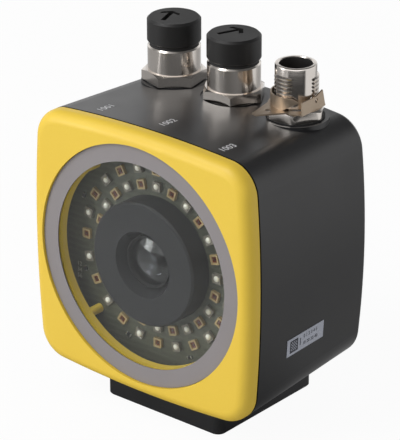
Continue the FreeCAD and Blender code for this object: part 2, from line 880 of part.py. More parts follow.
def make_lens_holder():
    body = new_body("lens_holder")
    outline = new_sketch(body, "outline", FRONT, -barrel_shoulder)
    rectangle(outline, 0, 0, s.holder_side, s.holder_side)
    circle(outline, 0, 0, s.barrel_thread)
    pad(body, "block", outline, camera_front - barrel_shoulder, back=True)
    room = new_sketch(body, "sensor_room", FRONT, -camera_front)
    room_side = s.holder_side - s.spacer_radius * 2
    rectangle(room, 0, 0, room_side, room_side)
    cut(body, "room", room, camera_front - barrel_shoulder - s.holder_thread_length, outward=True)
    return body


# Board stack: camera board and processor board on spacers behind the light board.
def make_stack_board(name, front):
    body = new_body(name)
    outline = new_sketch(body, "outline", FRONT, -front)
    rectangle(outline, 0, 0, stack_half * 2, stack_half * 2)
    circles(outline, spacer_places, s.stud_radius + s.stud_gap)
    pad(body, "plate", outline, s.board_thickness, back=True)
    return body


def make_image_sensor():
    body = new_body("image_sensor")
    outline = new_sketch(body, "outline", FRONT, -camera_front)
    rectangle(outline, 0, 0, s.sensor_side, s.sensor_side)
    pad(body, "package", outline, s.sensor_height)
    return body


def make_processor_chips():
    body = new_body("processor_chips")
    outline = new_sketch(body, "outline", FRONT, -processor_front)
    rectangle(outline, -s.chip_side / 2, 0, s.chip_side, s.chip_side)
    memory_x = stack_half - s.chip_margin - s.memory_side / 2
    memory_z = spacer_place - s.spacer_radius - s.chip_gap - s.memory_side / 2
    for z in (memory_z, -memory_z):
        rectangle(outline, memory_x, z, s.memory_side, s.memory_side)
    pad(body, "packages", outline, s.chip_height)
    return body


def make_front_spacers():
    body = new_body("front_spacers")
    rods = new_sketch(body, "rod_circles", FRONT, -board_back)
    circles(rods, spacer_places, s.spacer_radius)
    pad(body, "rods", rods, s.front_spacer, back=True)
    holes = new_sketch(body, "hole_circles", FRONT, -camera_front)
    circles(holes, spacer_places, s.stud_radius)
    cut(body, "holes", holes, s.stud_length, outward=True)
    return body


def make_rear_spacers():
    body = new_body("rear_spacers")
    rods = new_sketch(body, "rod_circles", FRONT, -camera_back)
    circles(rods, spacer_places, s.spacer_radius)
    pad(body, "rods", rods, processor_front - camera_back, back=True)
    studs = new_sketch(body, "stud_circles", FRONT, -camera_back)
    circles(studs, spacer_places, s.stud_radius)
    pad(body, "studs", studs, s.stud_length)
    holes = new_sketch(body, "hole_circles", FRONT, -processor_front)
    circles(holes, spacer_places, s.stud_radius)
    cut(body, "holes", holes, s.stud_length, outward=True)
    return body


def make_stack_screws():
    body = new_body("stack_screws")
    heads = new_sketch(body, "head_circles", FRONT, -processor_back)
    circles(heads, spacer_places, s.screw_head_radius)
    pad(body, "heads", heads, s.screw_head_height, back=True)
    shanks = new_sketch(body, "shank_circles", FRONT, -processor_back)
    circles(shanks, spacer_places, s.stud_radius)
    pad(body, "shanks", shanks, s.stud_length)
    return body


def make_connector_board():
    body = new_body("connector_board")
    outline = new_sketch(body, "outline", TOP, contact_board_bottom)
    side = port_pitch + boss_radius
    front, back = port_y - s.contact_board_front, body_floor - s.contact_board_gap
    polygon(outline, [(-side, front), (side, front), (side, back), (-side, back)])
    for x in port_places.values():
        for along, across in contact_places():
            circle(outline, x + along, port_y + across, s.contact_radius)
    pad(body, "plate", outline, s.board_thickness)
    return body


def make_link_header():
    """Makes the pin strip that joins the connector board to the back of the processor board."""
    body = new_body("link_header")
    outline = new_sketch(body, "outline", TOP, contact_board_bottom)
    near_side = s.contact_circle + s.contact_radius + s.header_gap
    far_side = spacer_place - s.screw_head_radius - s.header_gap
    strip_back = processor_back + s.stack_clear
    polygon(outline, [(near_side, processor_back), (far_side, processor_back),
                      (far_side, strip_back), (near_side, strip_back)])
    pad(body, "strip", outline, contact_board_bottom - spacer_place + s.spacer_radius * 2, back=True)
    return body


# Ports: two sockets with caps and one plug, each a turned shell screwed down by a nut inside.
def contact_places():
    """Gives four contacts on a circle and one in its middle, about a port's axis."""
    count = CONTACTS - 1
    ring = [on_circle(s.contact_circle, FULL_TURN * (i + 0.5) / count) for i in range(count)]
    return ring + [(as_size(0), as_size(0))]


def port_body(name, port, height=0):
    return new_body(name, port_places[port], port_y, seat_height + height, HEX_TURNS[port])


def hexagon(body, across, base, height):
    prism = body.newObject("PartDesign::AdditivePrism", f"{body.Name}_hex")
    prism.AttachmentSupport = (origin_plane(body, TOP), [""])
    prism.MapMode = "FlatFace"
    bind(prism, "AttachmentOffset.Base.z", base)
    bind(prism, "Circumradius", across / math.sqrt(3))
    bind(prism, "Height", height)
    prism.Polygon = 6
    doc.recompute()


def chamfer_hexagon(body, across, top):
    """Turns the hexagon's upper corners off to a cone, as a bar of hexagon stock is faced."""
    start = across / 2
    reach = across / math.sqrt(3)
    bored(body, "hex_chamfer", FRONT, [(start, top), (reach, top), (reach, top - s.hex_chamfer)])


def make_socket_shell(port):
    body = port_body(f"socket_shell_{port}", port)
    base = s.port_seal_thickness
    hexagon(body, s.hex_across, base, s.hex_height)
    chamfer_hexagon(body, s.hex_across, base + s.hex_height)
    turned(body, "shell", FRONT, [
        (0, -s.stem_length),
        (s.stem_radius, -s.stem_length),
        (s.stem_radius, base),
        (s.shell_radius, base),
        (s.shell_radius, socket_rim - s.shell_chamfer),
        (s.shell_radius - s.shell_chamfer, socket_rim),
        (0, socket_rim),
    ])
    bore_floor = socket_rim - s.socket_bore_depth
    bored(body, "bore", FRONT, [
        (0, -s.stem_length),
        (s.insert_radius, -s.stem_length),
        (s.insert_radius, bore_floor),
        (s.socket_bore, bore_floor),
        (s.socket_bore, socket_rim),
        (0, socket_rim),
    ])
    return body


def make_port_seal(port):
    body = port_body(f"port_seal_{port}", port)
    turned(body, "ring", FRONT, [
        (s.stem_radius, 0),
        (s.port_seal_radius, 0),
        (s.port_seal_radius, s.port_seal_thickness),
        (s.stem_radius, s.port_seal_thickness),
    ])
    return body


def make_socket_insert(port):
    body = port_body(f"socket_insert_{port}", port)
    top = socket_rim - s.insert_sink
    step = socket_rim - s.socket_bore_depth
    turned(body, "carrier", FRONT, [
        (0, -s.port_depth),
        (s.insert_radius, -s.port_depth),
        (s.insert_radius, step),
        (s.insert_nose, step),
        (s.insert_nose, top),
        (0, top),
    ])
    holes = new_sketch(body, "contact_circles", TOP, top)
    circles(holes, turned_places(port), s.contact_radius)
    cut(body, "contact_holes", holes, top + s.port_depth)
    return body


def turned_places(port):
    """Gives the contacts in the port's own frame, so that they meet the board's straight pattern."""
    back = math.radians(-HEX_TURNS[port])
    along, across = math.cos(back), math.sin(back)
    return [(x * along - y * across, x * across + y * along) for x, y in contact_places()]


def make_contacts(name, port, top):
    body = port_body(name, port)
    tail = s.port_depth + s.board_thickness + s.contact_tail
    rods = new_sketch(body, "rod_circles", TOP, -tail)
    circles(rods, turned_places(port), s.contact_radius)
    pad(body, "rods", rods, as_size(top) + tail)
    return body


def make_port_nuts():
    body = new_body("port_nuts", 0, port_y, seat_height - s.boss_height - s.nut_height)
    outline = new_sketch(body, "outline", TOP)
    for x in port_places.values():
        corners = [on_circle(s.stem_radius + s.nut_rim, FULL_TURN * i / 6) for i in range(6)]
        polygon(outline, [(x + along, across) for along, across in corners])
        circle(outline, x, 0, s.stem_radius)
    pad(body, "nuts", outline, s.nut_height)
    return body


def make_port_cap(port):
    """Makes a screw-in cap: a round head with a sunk arrow, a neck and a tubular stud."""
    neck = socket_rim + s.cap_seal_gap + s.cap_seal_thickness
    body = new_body(f"port_cap_{port}", port_places[port], port_y, seat_height + neck, SLOT_TURNS[port])
    stud = s.socket_bore - s.cap_stud_gap
    inner = stud - s.cap_stud_wall
    top = s.cap_neck + s.cap_height
    roof = s.cap_neck + s.cap_height / 4
    turned(body, "cap", FRONT, [
        (inner, -s.cap_stud_length),
        (stud, -s.cap_stud_length),
        (stud, 0),
        (s.cap_neck_radius, 0),
        (s.cap_neck_radius, s.cap_neck),
        (s.cap_radius, s.cap_neck + s.cap_radius - s.cap_neck_radius),
        (s.cap_radius, top - s.cap_edge),
        (s.cap_radius - s.cap_edge, top),
        (0, top),
        (0, roof),
        (inner, roof),
    ])
    slot = new_sketch(body, "slot", TOP, top)
    left, right = -s.slot_shift - s.slot_width / 2, s.slot_width / 2 - s.slot_shift
    arm_end = s.slot_tip - s.slot_sweep
    crotch = s.slot_tip - s.slot_width - s.slot_sweep * s.slot_width / 2 / s.slot_arm
    polygon(slot, [
        (-s.slot_shift, s.slot_tip),
        (-s.slot_shift - s.slot_arm, arm_end),
        (-s.slot_shift - s.slot_arm, arm_end - s.slot_width),
        (left, crotch),
        (left, -s.slot_tail),
        (right, -s.slot_tail),
        (right, crotch),
        (s.slot_arm - s.slot_shift, arm_end - s.slot_width),
        (s.slot_arm - s.slot_shift, arm_end),
    ])
    cut(body, "arrow", slot, s.slot_depth)
    return body


def make_cap_seal(port):
    base = seat_height + socket_rim + s.cap_seal_gap
    body = new_body(f"port_cap_seal_{port}", port_places[port], port_y, base)
    inner = s.socket_bore - s.cap_stud_gap
    turned(body, "ring", FRONT, [
        (inner, 0),
        (s.cap_neck_radius, 0),
        (s.cap_neck_radius, s.cap_seal_thickness),
        (inner, s.cap_seal_thickness),
    ])
    return body


def make_plug_shell():
    body = port_body("plug_shell", "main")
    base = s.port_seal_thickness
    hexagon(body, s.plug_hex_across, base, s.plug_hex_height)
    chamfer_hexagon(body, s.plug_hex_across, plug_hex_top)
    turned(body, "shell", FRONT, [
        (0, -s.stem_length),
        (s.stem_radius, -s.stem_length),
        (s.stem_radius, base),
        (s.plug_thread, base),
        (s.plug_thread, plug_thread_end),
        (s.plug_nose, plug_thread_end),
        (s.plug_nose, plug_rim - s.shell_chamfer),
        (s.plug_nose - s.shell_chamfer, plug_rim),
        (0, plug_rim),
    ])
    bored(body, "bore", FRONT, [
        (0, -s.stem_length),
        (s.insert_radius, -s.stem_length),
        (s.insert_radius, base),
        (s.plug_bore, base),
        (s.plug_bore, plug_rim),
        (0, plug_rim),
    ])
    return body


def make_plug_insert():
    body = port_body("plug_insert", "main")
    base = s.port_seal_thickness
    turned(body, "carrier", FRONT, [
        (0, -s.port_depth),
        (s.insert_radius, -s.port_depth),
        (s.insert_radius, base),
        (s.plug_bore, base),
        (s.plug_bore, plug_bore_floor),
        (0, plug_bore_floor),
    ])
    holes = new_sketch(body, "contact_circles", TOP, plug_bore_floor)
    circles(holes, turned_places("main"), s.contact_radius)
    cut(body, "contact_holes", holes, plug_bore_floor + s.port_depth)
    return body


# Earth clip: stamped from spring sheet, a ring with one flat pointed tab and one long ear bent up.
def make_earth_clip():
    body = new_body("earth_clip", port_pitch, port_y, seat_height + plug_hex_top, CLIP_EAR_TURN)
    hole = s.plug_thread + s.clip_gap
    ring = hole + s.clip_band
    hinge = hole + s.clip_thickness
    blank = new_sketch(body, "blank", TOP)
    circle(blank, 0, 0, ring)
    pad(body, "plate", blank, s.clip_thickness)
    root = new_sketch(body, "ear_root_outline", TOP)
    polygon(root, [(0, -ring), (hinge, -s.clip_ear_front), (hinge, s.clip_ear_back), (0, ring)])
    pad(body, "ear_root", root, s.clip_thickness)
    tab = new_sketch(body, "tab_outline", TOP, 0, CLIP_TAB_TURN)
    polygon(tab, [(0, -ring), (s.clip_tip, -s.clip_tip_half), (s.clip_tip, s.clip_tip_half), (0, ring)])
    pad(body, "tab", tab, s.clip_thickness)
    opening = new_sketch(body, "hole_circles", TOP, s.clip_thickness, CLIP_TAB_TURN)
    circle(opening, 0, 0, hole)
    circle(opening, s.clip_tip - s.clip_hole_inset, 0, s.clip_hole)
    cut(body, "holes", opening, s.clip_thickness)
    bend = new_sketch(body, "bend_line", TOP, s.clip_thickness)
    polygon(bend, [(hinge, -ring), (s.clip_tip, -ring), (s.clip_tip, ring), (hinge, ring)])
    cut(body, "bend_trim", bend, s.clip_thickness)
    add_clip_ear(body, hinge)
    return body


def add_clip_ear(body, hinge):
    """Adds the ear that stands up from the bend, with a peak towards its back and a small hole."""
    outline = new_sketch(body, "ear_outline", SIDE, hinge - s.clip_thickness)
    polygon(outline, [
        (-s.clip_ear_front, 0),
        (s.clip_ear_back, 0),
        (s.clip_ear_peak, s.clip_ear_high),
        (0, s.clip_ear_low),
        (-s.clip_ear_front, s.clip_ear_low),
    ])
    circle(outline, 0, s.clip_ear_low - s.clip_ear_hole_inset, s.clip_ear_hole)
    pad(body, "ear", outline, s.clip_thickness)


# Key panel: small board behind the back wall with two keys and a row of status lights.
def make_key_board():
    body = new_body("key_board")
    outline = new_sketch(body, "outline", FRONT, -key_rear)
    rectangle(outline, 0, -s.key_board_drop, s.key_board_width, s.key_board_height)
    circles(outline, key_boss_places, s.key_screw_radius + s.stud_gap)
    pad(body, "plate", outline, s.board_thickness)
    return body


def make_key_board_screws():
    body = new_body("key_board_screws")
    heads = new_sketch(body, "head_circles", FRONT, -key_front)
    circles(heads, key_boss_places, s.key_screw_radius * 2)
    pad(body, "heads", heads, s.screw_head_height)
    shanks = new_sketch(body, "shank_circles", FRONT, -key_front)
    circles(shanks, key_boss_places, s.key_screw_radius)
    pad(body, "shanks", shanks, s.board_thickness + s.key_standoff / 2, back=True)
    return body


def make_key_switches():
    body = new_body("key_switches")
    outline = new_sketch(body, "outline", FRONT, -key_rear)
    for x in button_places.values():
        rectangle(outline, x, -s.button_drop, s.switch_side, s.switch_side)
    pad(body, "bodies", outline, s.switch_height, back=True)
    return body


def make_status_leds():
    body = new_body("status_leds")
    outline = new_sketch(body, "outline", FRONT, -key_rear)
    for x, y in guide_places:
        rectangle(outline, x, y, s.status_led_side, s.status_led_side)
    pad(body, "lamps", outline, s.status_led_height, back=True)
    return body


def make_light_guides():
    body = new_body("light_guides")
    start = key_rear + s.status_led_height
    flanges = new_sketch(body, "flange_circles", FRONT, -start)
    circles(flanges, guide_places, s.guide_radius + s.guide_flange)
    pad(body, "flanges", flanges, body_floor - start, back=True)
    rods = new_sketch(body, "rod_circles", FRONT, -body_floor)
    circles(rods, guide_places, s.guide_radius)
    pad(body, "rods", rods, s.back_wall - s.guide_sink, back=True)
    return body


def make_rear_button(number):
    x = button_places[number]
    body = new_body(f"rear_button_{number}", x, 0, -s.button_drop)
    flange_back = body_floor - s.button_gap
    flange_front = flange_back - s.button_flange_thickness
    end = s.body_depth + s.button_proud
    turned(body, "button", TOP, [
        (0, flange_front),
        (s.button_radius + s.button_flange, flange_front),
        (s.button_radius + s.button_flange, flange_back),
        (s.button_radius, flange_back),
        (s.button_radius, end - s.back_edge / 2),
        (s.button_radius - s.back_edge / 2, end),
        (0, end),
    ])
    return body


# Foot: block plate under the housing, held by two screws from below, with four tapped holes.
def make_foot_plate():
    body = new_body("foot_plate")
    outline = new_sketch(body, "outline", TOP, -axis_height)
    rounded_rectangle(outline, 0, foot_middle, s.foot_width, s.foot_depth, s.foot_corner)
    block = pad(body, "block", outline, axis_height - foot_seat)
    bevelled(body, "bottom_edge", block, lambda p: near(p.z, -axis_height), s.foot_edge)
    holes = new_sketch(body, "screw_circles", TOP, -axis_height)
    circles(holes, foot_screw_places, s.foot_screw_radius + s.foot_screw_gap)
    cut(body, "screw_holes", holes, axis_height - foot_seat, outward=True)
    heads = new_sketch(body, "head_circles", TOP, -axis_height)
    circles(heads, foot_screw_places, s.foot_screw_head + s.foot_screw_gap)
    cut(body, "head_holes", heads, s.foot_screw_head_height + s.foot_screw_sink, outward=True)
    taps = new_sketch(body, "mount_circles", TOP, -axis_height)
    across = s.mount_spacing / 2
    circles(taps, [(x, foot_middle + y) for x, y in square_places(across, across)], s.mount_hole)
    cut(body, "mount_holes", taps, s.mount_hole_depth, outward=True)
    return body


def make_foot_screws():
    body = new_body("foot_screws")
    bottom = s.foot_screw_sink - axis_height
    heads = new_sketch(body, "head_circles", TOP, bottom)
    circles(heads, foot_screw_places, s.foot_screw_head)
    pad(body, "heads", heads, s.foot_screw_head_height)
    shanks = new_sketch(body, "shank_circles", TOP, bottom)
    circles(shanks, foot_screw_places, s.foot_screw_radius)
    pad(body, "shanks", shanks, s.foot_screw_head_height + s.foot_screw_length)
    return body


# Side label: a thin sticker that follows the bulge and draft of the housing's right side.
def make_side_label():
    skins = []
    for name, inset in (("label_skin", -s.label_thickness), ("label_under", as_size(0))):
        skin = new_body(name)
        drafted(skin, "block", "AdditiveLoft", inset, s.body_depth)
        skins.append(skin)
    patch = doc.addObject("Part::Box", "label_patch")
    bind(patch, "Length", half)
    bind(patch, "Width", s.label_length)
    bind(patch, "Height", s.label_height)
    bind(patch, "Placement.Base.x", half / 2)
    bind(patch, "Placement.Base.y", s.label_front - foot_middle)
    bind(patch, "Placement.Base.z", axis_height - s.label_drop - s.label_height / 2)
    blank = doc.addObject("Part::Common", "label_blank")
    blank.Base = skins[0]
    blank.Tool = patch
    label = doc.addObject("Part::Cut", "side_label")
    label.Base = blank
    label.Tool = skins[1]
    doc.recompute()
    return label


pieces = [
    make_housing(),
    make_front_bezel(),
    make_bezel_gasket(),
    make_window(),
    make_window_gasket(),
    make_led_board(),
    make_led_board_screws(),
    make_leds("amber_leds", 0, LED_STEP),
    make_leds("white_leds", LED_STEP, 0),
    make_led_resistors(),
    make_lens_shroud(),
    make_lens_barrel(),
    make_lens_ring(),
    make_front_lens(),
    make_rear_lens(),
    make_lens_holder(),
    make_stack_board("camera_board", camera_front),
    make_image_sensor(),
    make_stack_board("processor_board", processor_front),
    make_processor_chips(),
    make_front_spacers(),
    make_rear_spacers(),
    make_stack_screws(),
    make_connector_board(),
    make_link_header(),
    make_port_nuts(),
    make_earth_clip(),
    make_key_board(),
    make_key_board_screws(),
    make_key_switches(),
    make_status_leds(),
    make_light_guides(),
    make_foot_plate(),
    make_foot_screws(),
    make_side_label(),
]
for port in port_places:
    pieces.append(make_port_seal(port))
for port in SLOT_TURNS:
    pieces.append(make_socket_shell(port))
    pieces.append(make_socket_insert(port))
    pieces.append(make_contacts(f"socket_contacts_{port}", port, socket_rim - s.insert_sink))
    pieces.append(make_port_cap(port))
    pieces.append(make_cap_seal(port))
for number in button_places:
    pieces.append(make_rear_button(number))
pieces.append(make_plug_shell())
pieces.append(make_plug_insert())
pieces.append(make_contacts("plug_pins", "main", plug_rim - s.pin_sink))

# Every feature has to have built, and every piece has to be a sound solid, before any is written.
doc.recompute()
for item in doc.Objects:
    if "Invalid" in item.State or "Error" in item.State:
        raise RuntimeError(f"{item.Name} did not build: {item.State}")
for piece in pieces:
    if piece.Shape.isNull() or not piece.Shape.isValid() or not piece.Shape.Solids:
        raise RuntimeError(f"{piece.Label} is not a sound solid")

os.makedirs("parts", exist_ok=True)
for piece in pieces:
    piece.Shape.exportStep(f"parts/{piece.Label}.step")
print(f"{len(pieces)} pieces written")
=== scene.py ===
import math

import bpy
from mathutils import Matrix, Quaternion, Vector


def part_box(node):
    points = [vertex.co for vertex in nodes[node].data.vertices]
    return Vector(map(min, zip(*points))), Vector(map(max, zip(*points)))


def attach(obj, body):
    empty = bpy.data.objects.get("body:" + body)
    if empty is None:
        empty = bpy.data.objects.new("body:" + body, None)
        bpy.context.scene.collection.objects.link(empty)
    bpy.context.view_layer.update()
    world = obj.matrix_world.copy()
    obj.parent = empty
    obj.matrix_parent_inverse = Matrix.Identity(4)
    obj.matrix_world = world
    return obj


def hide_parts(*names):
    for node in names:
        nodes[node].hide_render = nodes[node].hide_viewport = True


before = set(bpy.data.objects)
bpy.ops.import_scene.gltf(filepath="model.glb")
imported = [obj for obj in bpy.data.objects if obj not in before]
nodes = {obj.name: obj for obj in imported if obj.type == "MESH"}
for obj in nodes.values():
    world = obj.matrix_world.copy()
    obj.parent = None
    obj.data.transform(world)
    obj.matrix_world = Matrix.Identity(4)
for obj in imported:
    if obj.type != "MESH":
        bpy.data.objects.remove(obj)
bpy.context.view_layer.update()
mm = 0.001


# Housing: one deep black moulding that carries everything else. It is a glass-filled plastic with
# a fine spark-eroded grain and a satin sheen, and it leaves the mould with drafted, bulged sides.
def screen_colour(red, green, blue):
    """Turns screen values, 0 to 255, into the linear colour that a shader takes."""
    def linear(value):
        share = value / 255
        return share / 12.92 if share <= 0.04045 else ((share + 0.055) / 1.055) ** 2.4
    return (linear(red), linear(green), linear(blue), 1.0)


def feed(tree, value, socket):
    """Links a socket to another one, or sets it to a plain value."""
    if isinstance(value, bpy.types.NodeSocket):
        tree.links.new(value, socket)
    else:
        socket.default_value = value


def own_place(tree):
    """Gives each point's place on the piece, as its mesh has it."""
    return tree.nodes.new("ShaderNodeTexCoord").outputs["Object"]


def noise(tree, place, scale, detail):
    texture = tree.nodes.new("ShaderNodeTexNoise")
    feed(tree, place, texture.inputs["Vector"])
    feed(tree, scale, texture.inputs["Scale"])
    feed(tree, detail, texture.inputs["Detail"])
    return texture.outputs["Fac"]


def ramp(tree, value, start, end, low, high):
    """Makes a number that runs from low to high while the value runs from start to end."""
    spread = tree.nodes.new("ShaderNodeMapRange")
    sockets = ("Value", "From Min", "From Max", "To Min", "To Max")
    for socket, number in zip(sockets, (value, start, end, low, high)):
        feed(tree, number, spread.inputs[socket])
    return spread.outputs["Result"]


def between(tree, share, low, high):
    """Makes a number that runs from low to high over a noise's middle range."""
    return ramp(tree, share, start=0.3, end=0.7, low=low, high=high)


def blend_colours(tree, share, first, second):
    mix = tree.nodes.new("ShaderNodeMix")
    mix.data_type = "RGBA"
    feed(tree, share, mix.inputs["Factor"])
    colour_inputs = [socket for socket in mix.inputs if socket.type == "RGBA"]
    for value, socket in zip((first, second), colour_inputs):
        feed(tree, value, socket)
    return next(socket for socket in mix.outputs if socket.type == "RGBA")


def bumped(tree, height, strength, relief):
    bump = tree.nodes.new("ShaderNodeBump")
    feed(tree, height, bump.inputs["Height"])
    feed(tree, strength, bump.inputs["Strength"])
    feed(tree, relief, bump.inputs["Distance"])
    return bump.outputs["Normal"]


def finish_group(name, inputs):
    """Starts a node group that puts out a colour, a roughness and a normal."""
    kinds = {"colour": "NodeSocketColor", "number": "NodeSocketFloat", "vector": "NodeSocketVector"}
    outputs = {"Color": "colour", "Roughness": "number", "Normal": "vector"}
    group = bpy.data.node_groups.new(name, "ShaderNodeTree")
    for way, sockets in (("INPUT", inputs), ("OUTPUT", outputs)):
        for socket, kind in sockets.items():
            group.interface.new_socket(socket, in_out=way, socket_type=kinds[kind])
    given = group.nodes.new("NodeGroupInput").outputs
    taken = group.nodes.new("NodeGroupOutput").inputs
    return group, given, taken


def put_out(group, taken, colour, roughness, normal):
    for socket, value in (("Color", colour), ("Roughness", roughness), ("Normal", normal)):
        feed(group, value, taken[socket])


GRAIN_DETAIL, GRAIN_RELIEF = 2.0, 0.04 * mm
FLOW_SCALE, FLOW_DETAIL = 55.0, 3.0
SPECKLE_SHARE = 0.35
moulded_grain, given, taken = finish_group("moulded_grain", {
    "Color": "colour", "Shade": "colour", "Grain Scale": "number",
    "Smoothest": "number", "Roughest": "number", "Depth": "number",
})
place = own_place(moulded_grain)
grain = noise(moulded_grain, place, given["Grain Scale"], GRAIN_DETAIL)
flow = noise(moulded_grain, place, FLOW_SCALE, FLOW_DETAIL)
mottle = blend_colours(moulded_grain, flow, given["Color"], given["Shade"])
speckle = between(moulded_grain, grain, 0.0, SPECKLE_SHARE)
put_out(
    moulded_grain, taken,
    colour=blend_colours(moulded_grain, speckle, mottle, given["Shade"]),
    roughness=between(moulded_grain, flow, given["Smoothest"], given["Roughest"]),
    normal=bumped(moulded_grain, grain, given["Depth"], GRAIN_RELIEF),
)


def finished(name, group, values, metallic=0.0, coat=0.0, specular=0.5):
    """Makes a material from a group's colour, roughness and normal, with the rest plain."""
    material = bpy.data.materials.new(name)
    material.use_nodes = True
    tree = material.node_tree
    shader = tree.nodes["Principled BSDF"]
    pattern = tree.nodes.new("ShaderNodeGroup")
    pattern.node_tree = group
    for socket, value in values.items():
        pattern.inputs[socket].default_value = value
    for socket in ("Base Color", "Roughness", "Normal"):
        source = "Color" if socket == "Base Color" else socket
        tree.links.new(pattern.outputs[source], shader.inputs[socket])
    plain = {"Metallic": metallic, "Coat Weight": coat, "Specular IOR Level": specular}
    for socket, value in plain.items():
        shader.inputs[socket].default_value = value
    return material


def moulded(name, colour, shade, grain, rough, depth, **plain):
    """Makes a moulded finish of two near colours, with its grain's scale, sheen and depth."""
    return finished(name, moulded_grain, {
        "Color": screen_colour(*colour), "Shade": screen_colour(*shade), "Grain Scale": grain,
        "Smoothest": rough[0], "Roughest": rough[1], "Depth": depth,
    }, **plain)


def dress(material, *names):
    """Gives CAD nodes their finish."""
    for name in names:
        for slot in nodes[name].material_slots:
            slot.material = material


black_moulding = moulded("black_moulding", (28, 28, 30), (22, 22, 24),
                         grain=2600, rough=(0.28, 0.36), depth=0.16)
dress(black_moulding, "housing")


# Foot: a machined block under the housing, coated black, held up by two socket-head screws that
# sit in counterbores on its underside.
foot_coating = moulded("foot_coating", (38, 38, 40), (30, 30, 32),
                       grain=3400, rough=(0.42, 0.52), depth=0.30)
dress(foot_coating, "foot_plate")


def mapped(tree, place, socket, value):
    mapping = tree.nodes.new("ShaderNodeMapping")
    feed(tree, place, mapping.inputs["Vector"])
    feed(tree, value, mapping.inputs[socket])
    return mapping.outputs["Vector"]


MARK_DETAIL, MARK_RELIEF = 2.0, 0.01 * mm
TARNISH_SCALE, TARNISH_DETAIL = 180.0, 3.0
turned_metal, given, taken = finish_group("turned_metal", {
    "Color": "colour", "Shade": "colour", "Stretch": "vector",
    "Smoothest": "number", "Roughest": "number", "Depth": "number",
})
place = own_place(turned_metal)
stretched = mapped(turned_metal, place, "Scale", given["Stretch"])
tool_marks = noise(turned_metal, stretched, 1.0, MARK_DETAIL)
tarnish = noise(turned_metal, place, TARNISH_SCALE, TARNISH_DETAIL)
put_out(
    turned_metal, taken,
    colour=blend_colours(turned_metal, tarnish, given["Color"], given["Shade"]),
    roughness=between(turned_metal, tool_marks, given["Smoothest"], given["Roughest"]),
    normal=bumped(turned_metal, tool_marks, given["Depth"], MARK_RELIEF),
)


def turned_finish(name, colour, shade, stretch, rough, depth):
    """Makes a metal finish. The tool marks are closest along the stretch's largest number."""
    return finished(name, turned_metal, {
        "Color": screen_colour(*colour), "Shade": screen_colour(*shade), "Stretch": stretch,
        "Smoothest": rough[0], "Roughest": rough[1], "Depth": depth,
    }, metallic=1.0)


UPRIGHT_LATHE = (60.0, 60.0, 5200.0)
FORWARD_LATHE = (60.0, 5200.0, 60.0)
STEEL_COLOURS = (178, 176, 172), (150, 148, 144)
steel = turned_finish("steel", *STEEL_COLOURS, UPRIGHT_LATHE, rough=(0.22, 0.36), depth=0.12)


def put_down():
    """Leaves edit mode with nothing selected."""
    if bpy.context.mode != "OBJECT":
        bpy.ops.object.mode_set(mode="OBJECT")
    bpy.ops.object.select_all(action="DESELECT")


def take(piece):
    put_down()
    piece.select_set(True)
    bpy.context.view_layer.objects.active = piece


def settled():
    """Leaves a new primitive's place, turn and size in its mesh."""
    piece = bpy.context.object
    take(piece)
    bpy.ops.object.transform_apply(location=True, rotation=True, scale=True)
    return piece


def pick(piece, what, wanted):
    """Opens a piece for editing, with the faces, edges or corners selected that pass the test."""
    take(piece)
    bpy.ops.object.mode_set(mode="EDIT")
    bpy.ops.mesh.select_mode(type=what)
    bpy.ops.mesh.select_all(action="DESELECT")
    bpy.ops.object.mode_set(mode="OBJECT")
    mesh = piece.data
    if what == "FACE":
        for face in mesh.polygons:
            face.select = wanted(face.center, face.normal)
    elif what == "EDGE":
        for edge in mesh.edges:
            first, second = (mesh.vertices[i].co for i in edge.vertices)
            edge.select = wanted(first, second)
    else:
        for corner in mesh.vertices:
            corner.select = wanted(corner.co)
    bpy.ops.object.mode_set(mode="EDIT")


def push_out(height):
    bpy.ops.mesh.extrude_region_move(TRANSFORM_OT_translate={"value": (0, 0, height)})


def apply_modifier(piece, kind, **values):
    take(piece)
    modifier = piece.modifiers.new(kind.lower(), kind)
    for name, value in values.items():
        setattr(modifier, name, value)
    bpy.ops.object.modifier_apply(modifier=modifier.name)


def carve(piece, tool, operation="DIFFERENCE"):
    """Cuts a tool's shape out of a piece, or trims the piece to it, and removes the tool."""
    apply_modifier(piece, "BOOLEAN", operation=operation, object=tool, solver="EXACT")
    bpy.data.objects.remove(tool)


def smooth(piece, angle):
    take(piece)
    bpy.ops.object.shade_smooth_by_angle(angle=math.radians(angle))


def paint(piece, material):
    """Gives a piece one material all over."""
    piece.data.materials.clear()
    piece.data.materials.append(material)


def set_place(piece, matrix):
    """Moves a finished piece and leaves the move in its mesh."""
    take(piece)
    piece.matrix_world = matrix
    bpy.ops.object.transform_apply(location=True, rotation=True, scale=True)


def copy_at(pattern, matrix):
    copy = pattern.copy()
    copy.data = pattern.data.copy()
    bpy.context.scene.collection.objects.link(copy)
    set_place(copy, matrix)
    return copy


def joined(pieces, name):
    """Joins pieces into the first of them."""
    put_down()
    for piece in pieces:
        piece.select_set(True)
    bpy.context.view_layer.objects.active = pieces[0]
    bpy.ops.object.join()
    pieces[0].name = name
    return pieces[0]


def copied(pattern, matrices, name):
    """Copies a finished pattern to each place, as one piece, and removes the pattern."""
    copies = [copy_at(pattern, matrix) for matrix in matrices]
    bpy.data.objects.remove(pattern)
    return joined(copies, name)


def fix(piece, body="reader"):
    put_down()
    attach(piece, body)


